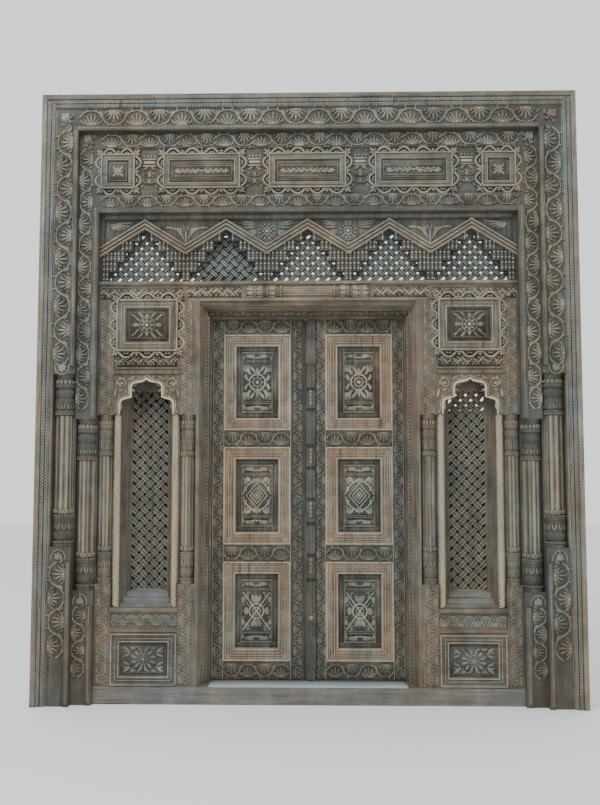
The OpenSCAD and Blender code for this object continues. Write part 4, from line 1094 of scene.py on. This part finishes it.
strand(cut, [(0, 0), (line_long, 0)], 7, 4)
stile_line = motif("stile_line", cut)
cut = bmesh.new()
block(cut, bead_length / 2, 0, bead_length, 44, 0.7, 1.0)
for i in range(10):
    for off in (-9, 9):
        bead(cut, 11 * (i + 0.5), off, 4.6, 5.0, 6)
strand(cut, [(0, 0), (bead_length, 0)], 3, 3.5)
strand(cut, [(0, 19), (bead_length, 19)], 3.5, 4)
strand(cut, [(0, -19), (bead_length, -19)], 3.5, 4)
double_beads = motif("double_beads", cut)
panel_x, panel_w, panel_h, panel_deep = 298, 390, 565, 242
# The pale raised lines round each door panel, at its lip and along its frame, are painted highlights on those
# edges.
panel_highlight_rules = rules("panel_highlight_rules", panel_w, panel_h, ((17, 6, 3), (65, 8, 5)))
panel_lip_highlight = rules("panel_lip_highlight", panel_w, panel_h, ((5, 8, 2.5),))
# The dark flat in each panel's hollow is painted shade.
panel_shade_plate = shade_plate("panel_shade_plate", panel_w, panel_h, 74, 30)


def field_bands(cut, tall=172):
    """The split-leaf bands and double lines across the top and foot of a field, on its sunk ground."""
    block(cut, 0, 0, 180, tall * 2 + 10, 0.7, 1.0)
    for s in (-1, 1):
        strand(cut, [(s * 86, -tall), (s * 86, tall)], 4, 4)
        strand(cut, [(-84, s * (tall + 1)), (84, s * (tall + 1))], 4, 4)
        for hand in (-1, 1):
            for y in (30, 62, 94):
                leaf(cut, s * 84, hand * y, 90 + s * 90 - hand * s * 30, 22, 11, 6, hand * s * 50, 3)
        strand(cut, [(-84, s * (tall - 46)), (84, s * (tall - 46))], 5, 6)
        strand(cut, [(-84, s * (tall - 56)), (84, s * (tall - 56))], 4, 5)
        for hand in (-1, 1):
            leaf(cut, hand * 4, s * (tall - 30), 90 - hand * (90 - s * 26), 72, 20, 7, -hand * s * 56)
            leaf(cut, hand * 10, s * (tall - 10), 90 - hand * (90 - s * 4), 68, 12, 6, -hand * s * 20)
            leaf(cut, hand * 80, s * (tall - 40), s * 90, 34, 14, 6, hand * s * 40, 3)
        bead(cut, 0, s * (tall - 24), 7, 8, 8)
        for hand in (-1, 1):
            for off, a, long in ((0, 45, 46), (26, 20, 40), (-26, 70, 38)):
                leaf(cut, hand * (82 + min(off, 0)), s * (tall - 64 - max(off, 0)),
                     90 + hand * (90 + s * a), long, 14, 6, hand * s * 30, 3)


cut = bmesh.new()
field_bands(cut)
strand(cut, arc(0, 0, 47, 0, 360, 30), 12, 9)
strand(cut, arc(0, 0, 25, 0, 360, 22), 8, 8)
bead(cut, 0, 0, 13, 9, 8)
for x, y in arc(0, 0, 36, 0, 315, 7):
    bead(cut, x, y, 5.5, 8, 6)
for s in (1, -1):
    for b in (-46, 0, 46):
        leaf(cut, 0, s * 44, s * 90 + b, 48 - abs(b) * 0.24, 18, 8, -b * 0.5)
for hand in (-1, 1):
    for s in (-1, 1):
        leaf(cut, hand * 50, s * 8, 90 - hand * (90 - s * 40), 48, 21, 8.5, hand * s * 70)
        leaf(cut, hand * 34, s * 44, 90 - hand * (90 - s * 40), 56, 22, 8.5, hand * s * 70)
        leaf(cut, hand * 10, s * 64, 90 - hand * (90 - s * 30), 52, 20, 8.5, hand * s * 60)
        scroll(cut, hand * 66, s * 74, 15, 90 * s, hand * s, 7, 8)
        leaf(cut, hand * 80, s * 96, -90 * s, 40, 15, 6, -hand * s * 30, 3)
field_top = motif("field_top", cut)

cut = bmesh.new()
field_bands(cut)
for r in (62, 40, 19):
    strand(cut, [(0, r * 1.15), (r, 0), (0, -r * 1.15), (-r, 0), (0, r * 1.15)], 9.1, 8)
for s in (1, -1):
    for b in (-50, 0, 50):
        leaf(cut, 0, s * 70, s * 90 + b, 42, 17, 7, -b * 0.8)
for hand in (-1, 1):
    for s in (-1, 1):
        bow = [(6, 98), (24, 82), (48, 66), (70, 38), (82, 6)]
        strand(cut, [(hand * x, s * y) for x, y in bow], 10, 8.5)
        leaf(cut, hand * 34, s * 74, 90 - hand * (90 - s * 64), 52, 21, 8.5, -hand * s * 50)
        leaf(cut, hand * 60, s * 24, 90 - hand * (90 - s * 60), 40, 18, 8, hand * s * 40, 3)
        scroll(cut, hand * 66, s * 92, 14, 90 * s, hand * s, 7, 8)
bead(cut, 0, 0, 9, 9, 8)
field_middle = motif("field_middle", cut)

cut = bmesh.new()
field_bands(cut)
for hand in (-1, 1):
    strand(cut, [(-hand * 78, -108), (0, 0), (hand * 78, 108)], 15, 8)
    strand(cut, [(-hand * 60, -112), (hand * 4, -20)], 6, 7)
    strand(cut, [(hand * 84, 86), (hand * 30, 10)], 6, 7)
strand(cut, arc(0, 0, 42, 0, 360, 26), 12, 9.5)
strand(cut, arc(0, 0, 22, 0, 360, 18), 8, 9)
bead(cut, 0, 0, 10, 10, 8)
for a in (0, 90, 180, 270):
    for b in (-40, 0, 40):
        c = math.radians(a)
        leaf(cut, 44 * math.cos(c), 44 * math.sin(c), a + b, 54 if a % 180 else 36, 21, 8.5, -b * 0.6)
for hand in (-1, 1):
    for s in (-1, 1):
        leaf(cut, hand * 78, s * 42, 90 - hand * (90 - s * 90), 44, 18, 8, -hand * s * 50, 3)
        leaf(cut, hand * 4, s * 62, 90 - hand * (90 - s * 60), 46, 18, 8, -hand * s * 60, 3)
        leaf(cut, hand * 30, s * 100, 90 * s - hand * s * 70, 34, 13, 6, 30, 3)
field_bottom = motif("field_bottom", cut)

for side, body in ((1, "leaf_right"), (-1, "leaf_left")):
    meeting_x = 74 if side > 0 else 60
    cuts = run(hanging_vine, leaf_foot, leaf_top, stile_wave, 525, leaf_deep, True)
    cuts += run(meeting_vine, leaf_foot, leaf_top, stile_wave, meeting_x, leaf_deep, True)
    cuts += [(stile_line, seat(x, line_foot, leaf_deep, 90)) for x in (492, 554, 101)]
    for z in (150, 814, 1476, 2136):
        cuts += run(leaf_rail_vine, 108, 488, leaf_rail_wave, z, leaf_deep, False)
    frames, fields = [], []
    for z, field in ((483.5, field_bottom), (1145.5, field_middle), (1807.5, field_top)):
        for turn, long, off_x, off_z in ((0, 300, -150, 243), (0, 300, -150, -243),
                                         (90, 475, -156, -237.5), (90, 475, 156, -237.5)):
            count = round(long / bead_length)
            fit = Matrix.Scale(long / count / bead_length, 4, Vector((1, 0, 0)))
            for i in range(count):
                at = long * i / count
                x, up = (at, 0) if turn == 0 else (0, at)
                place = seat(panel_x + off_x + x, z + off_z + up, panel_deep, turn)
                frames.append((double_beads, place @ fit))
        fields.append((field, seat(panel_x, z, 247) @ Matrix.Scale(0.985, 4)))
        fields.append((panel_shade_plate, seat(panel_x, z, 255)))
        frames.append((panel_highlight_rules, seat(panel_x, z, panel_deep + 0.5)))
        frames.append((panel_lip_highlight, seat(panel_x, z, leaf_deep)))
    if side < 0:
        cuts, frames, fields = mirrored(cuts), mirrored(frames), mirrored(fields)
    carve("carving_" + body, body, leaf_cut, cuts)
    carve("fields_" + body, body, field_cut, fields)
    carve("beads_" + body, body, bead_cut, frames)


# Cover bar: one long bar pinned to the right leaf's meeting edge, carved with short rows of leaves
# between dark cut rings, with a thin bead behind it that closes the joint. A forged iron stud is
# driven into it low down.
cover_bar = timber("cover_bar", (0.045, 0.045, 0.043), (0.092, 0.090, 0.082), (0.228, 0.220, 0.195),
                   "z", 0.26)
bar_cut = timber("bar_carved", (0.037, 0.034, 0.029), (0.10, 0.09, 0.074), (0.209, 0.190, 0.157), "z", 0.0)
finish_node(cover_bar, "astragal")
cut = bmesh.new()
for i in range(4):
    leaf(cut, 0, 10 + 22 * i, 90, 26, 26, 5, 0, 3)
bar_leaves = motif("bar_leaves", cut)
cut = bmesh.new()
for i in range(3):
    block(cut, 0, 6 * i, 46, 4, 3.0, 0.96)
bar_rings = set_wear_and_shade(motif("bar_rings", cut), 0.0)
cut = bmesh.new()
block(cut, 0, 0, 4.4, 2066, 0.5, 1.0, -41)
joint_bead = motif("joint_bead", cut)
bar_x, bar_deep = 16, 217.5
cuts = [(bar_leaves, seat(bar_x, z, bar_deep)) for z in (690, 1010, 1320, 1660)]
cuts += [(bar_rings, seat(bar_x, z, bar_deep + 0.5)) for z in (660, 800, 980, 1120, 1300, 1430, 1640, 1760)]
cuts.append((joint_bead, seat(-14.7, 1139, 230.5)))
carve("cover_bar_carving", "leaf_right", bar_cut, cuts)
iron = timber("iron", (0.125, 0.122, 0.117), (0.30, 0.29, 0.275), (0.589, 0.580, 0.551), "z", 0.6, 0.2)
iron.node_tree.nodes["Principled BSDF"].inputs["Metallic"].default_value = 0.8
finish_node(iron, "door_stud")


# Studio: a pale floor, a broad cool light from above and a weak warm one from low in front.
floor_shape = bmesh.new()
bmesh.ops.create_grid(floor_shape, x_segments=1, y_segments=1, size=14)
floor_mesh = bpy.data.meshes.new("studio_floor")
floor_shape.to_mesh(floor_mesh)
floor_shape.free()
floor = bpy.data.objects.new("studio_floor", floor_mesh)
bpy.context.scene.collection.objects.link(floor)
floor_finish = bpy.data.materials.new("studio_floor")
floor_finish.use_nodes = True
floor_finish.node_tree.nodes["Principled BSDF"].inputs["Base Color"].default_value = (0.82, 0.82, 0.81, 1)
floor_finish.node_tree.nodes["Principled BSDF"].inputs["Roughness"].default_value = 0.9
floor_mesh.materials.append(floor_finish)

world = bpy.data.worlds.new("studio")
world.use_nodes = True
world.node_tree.nodes["Background"].inputs["Color"].default_value = (0.96, 0.98, 1.0, 1)
world.node_tree.nodes["Background"].inputs["Strength"].default_value = 1.3
bpy.context.scene.world = world
for name, spot, target, size, power, colour in (
        ("sky_light", (-1.6, -3.4, 5.6), (0, 0, 1.7), 3.0, 215, (0.97, 0.985, 1.0)),
        ("low_light", (1.8, -4.5, 0.7), (0, 0, 1.2), 2.5, 40, (1.0, 0.93, 0.84))):
    lamp = bpy.data.lights.new(name, "AREA")
    lamp.shape, lamp.size, lamp.energy, lamp.color = "SQUARE", size, power, colour
    light = bpy.data.objects.new(name, lamp)
    light.location = spot
    light.rotation_euler = (Vector(target) - Vector(spot)).to_track_quat("-Z", "Y").to_euler()
    bpy.context.scene.collection.objects.link(light)

lens = bpy.data.cameras.new("camera")
lens.lens = 38.0124
camera = bpy.data.objects.new("camera", lens)
camera.location = (0.0555, -4.8749, 1.3299)
camera.rotation_euler = (math.pi / 2 + 0.0720, 0, 0.0206)
bpy.context.scene.collection.objects.link(camera)
bpy.context.scene.camera = camera
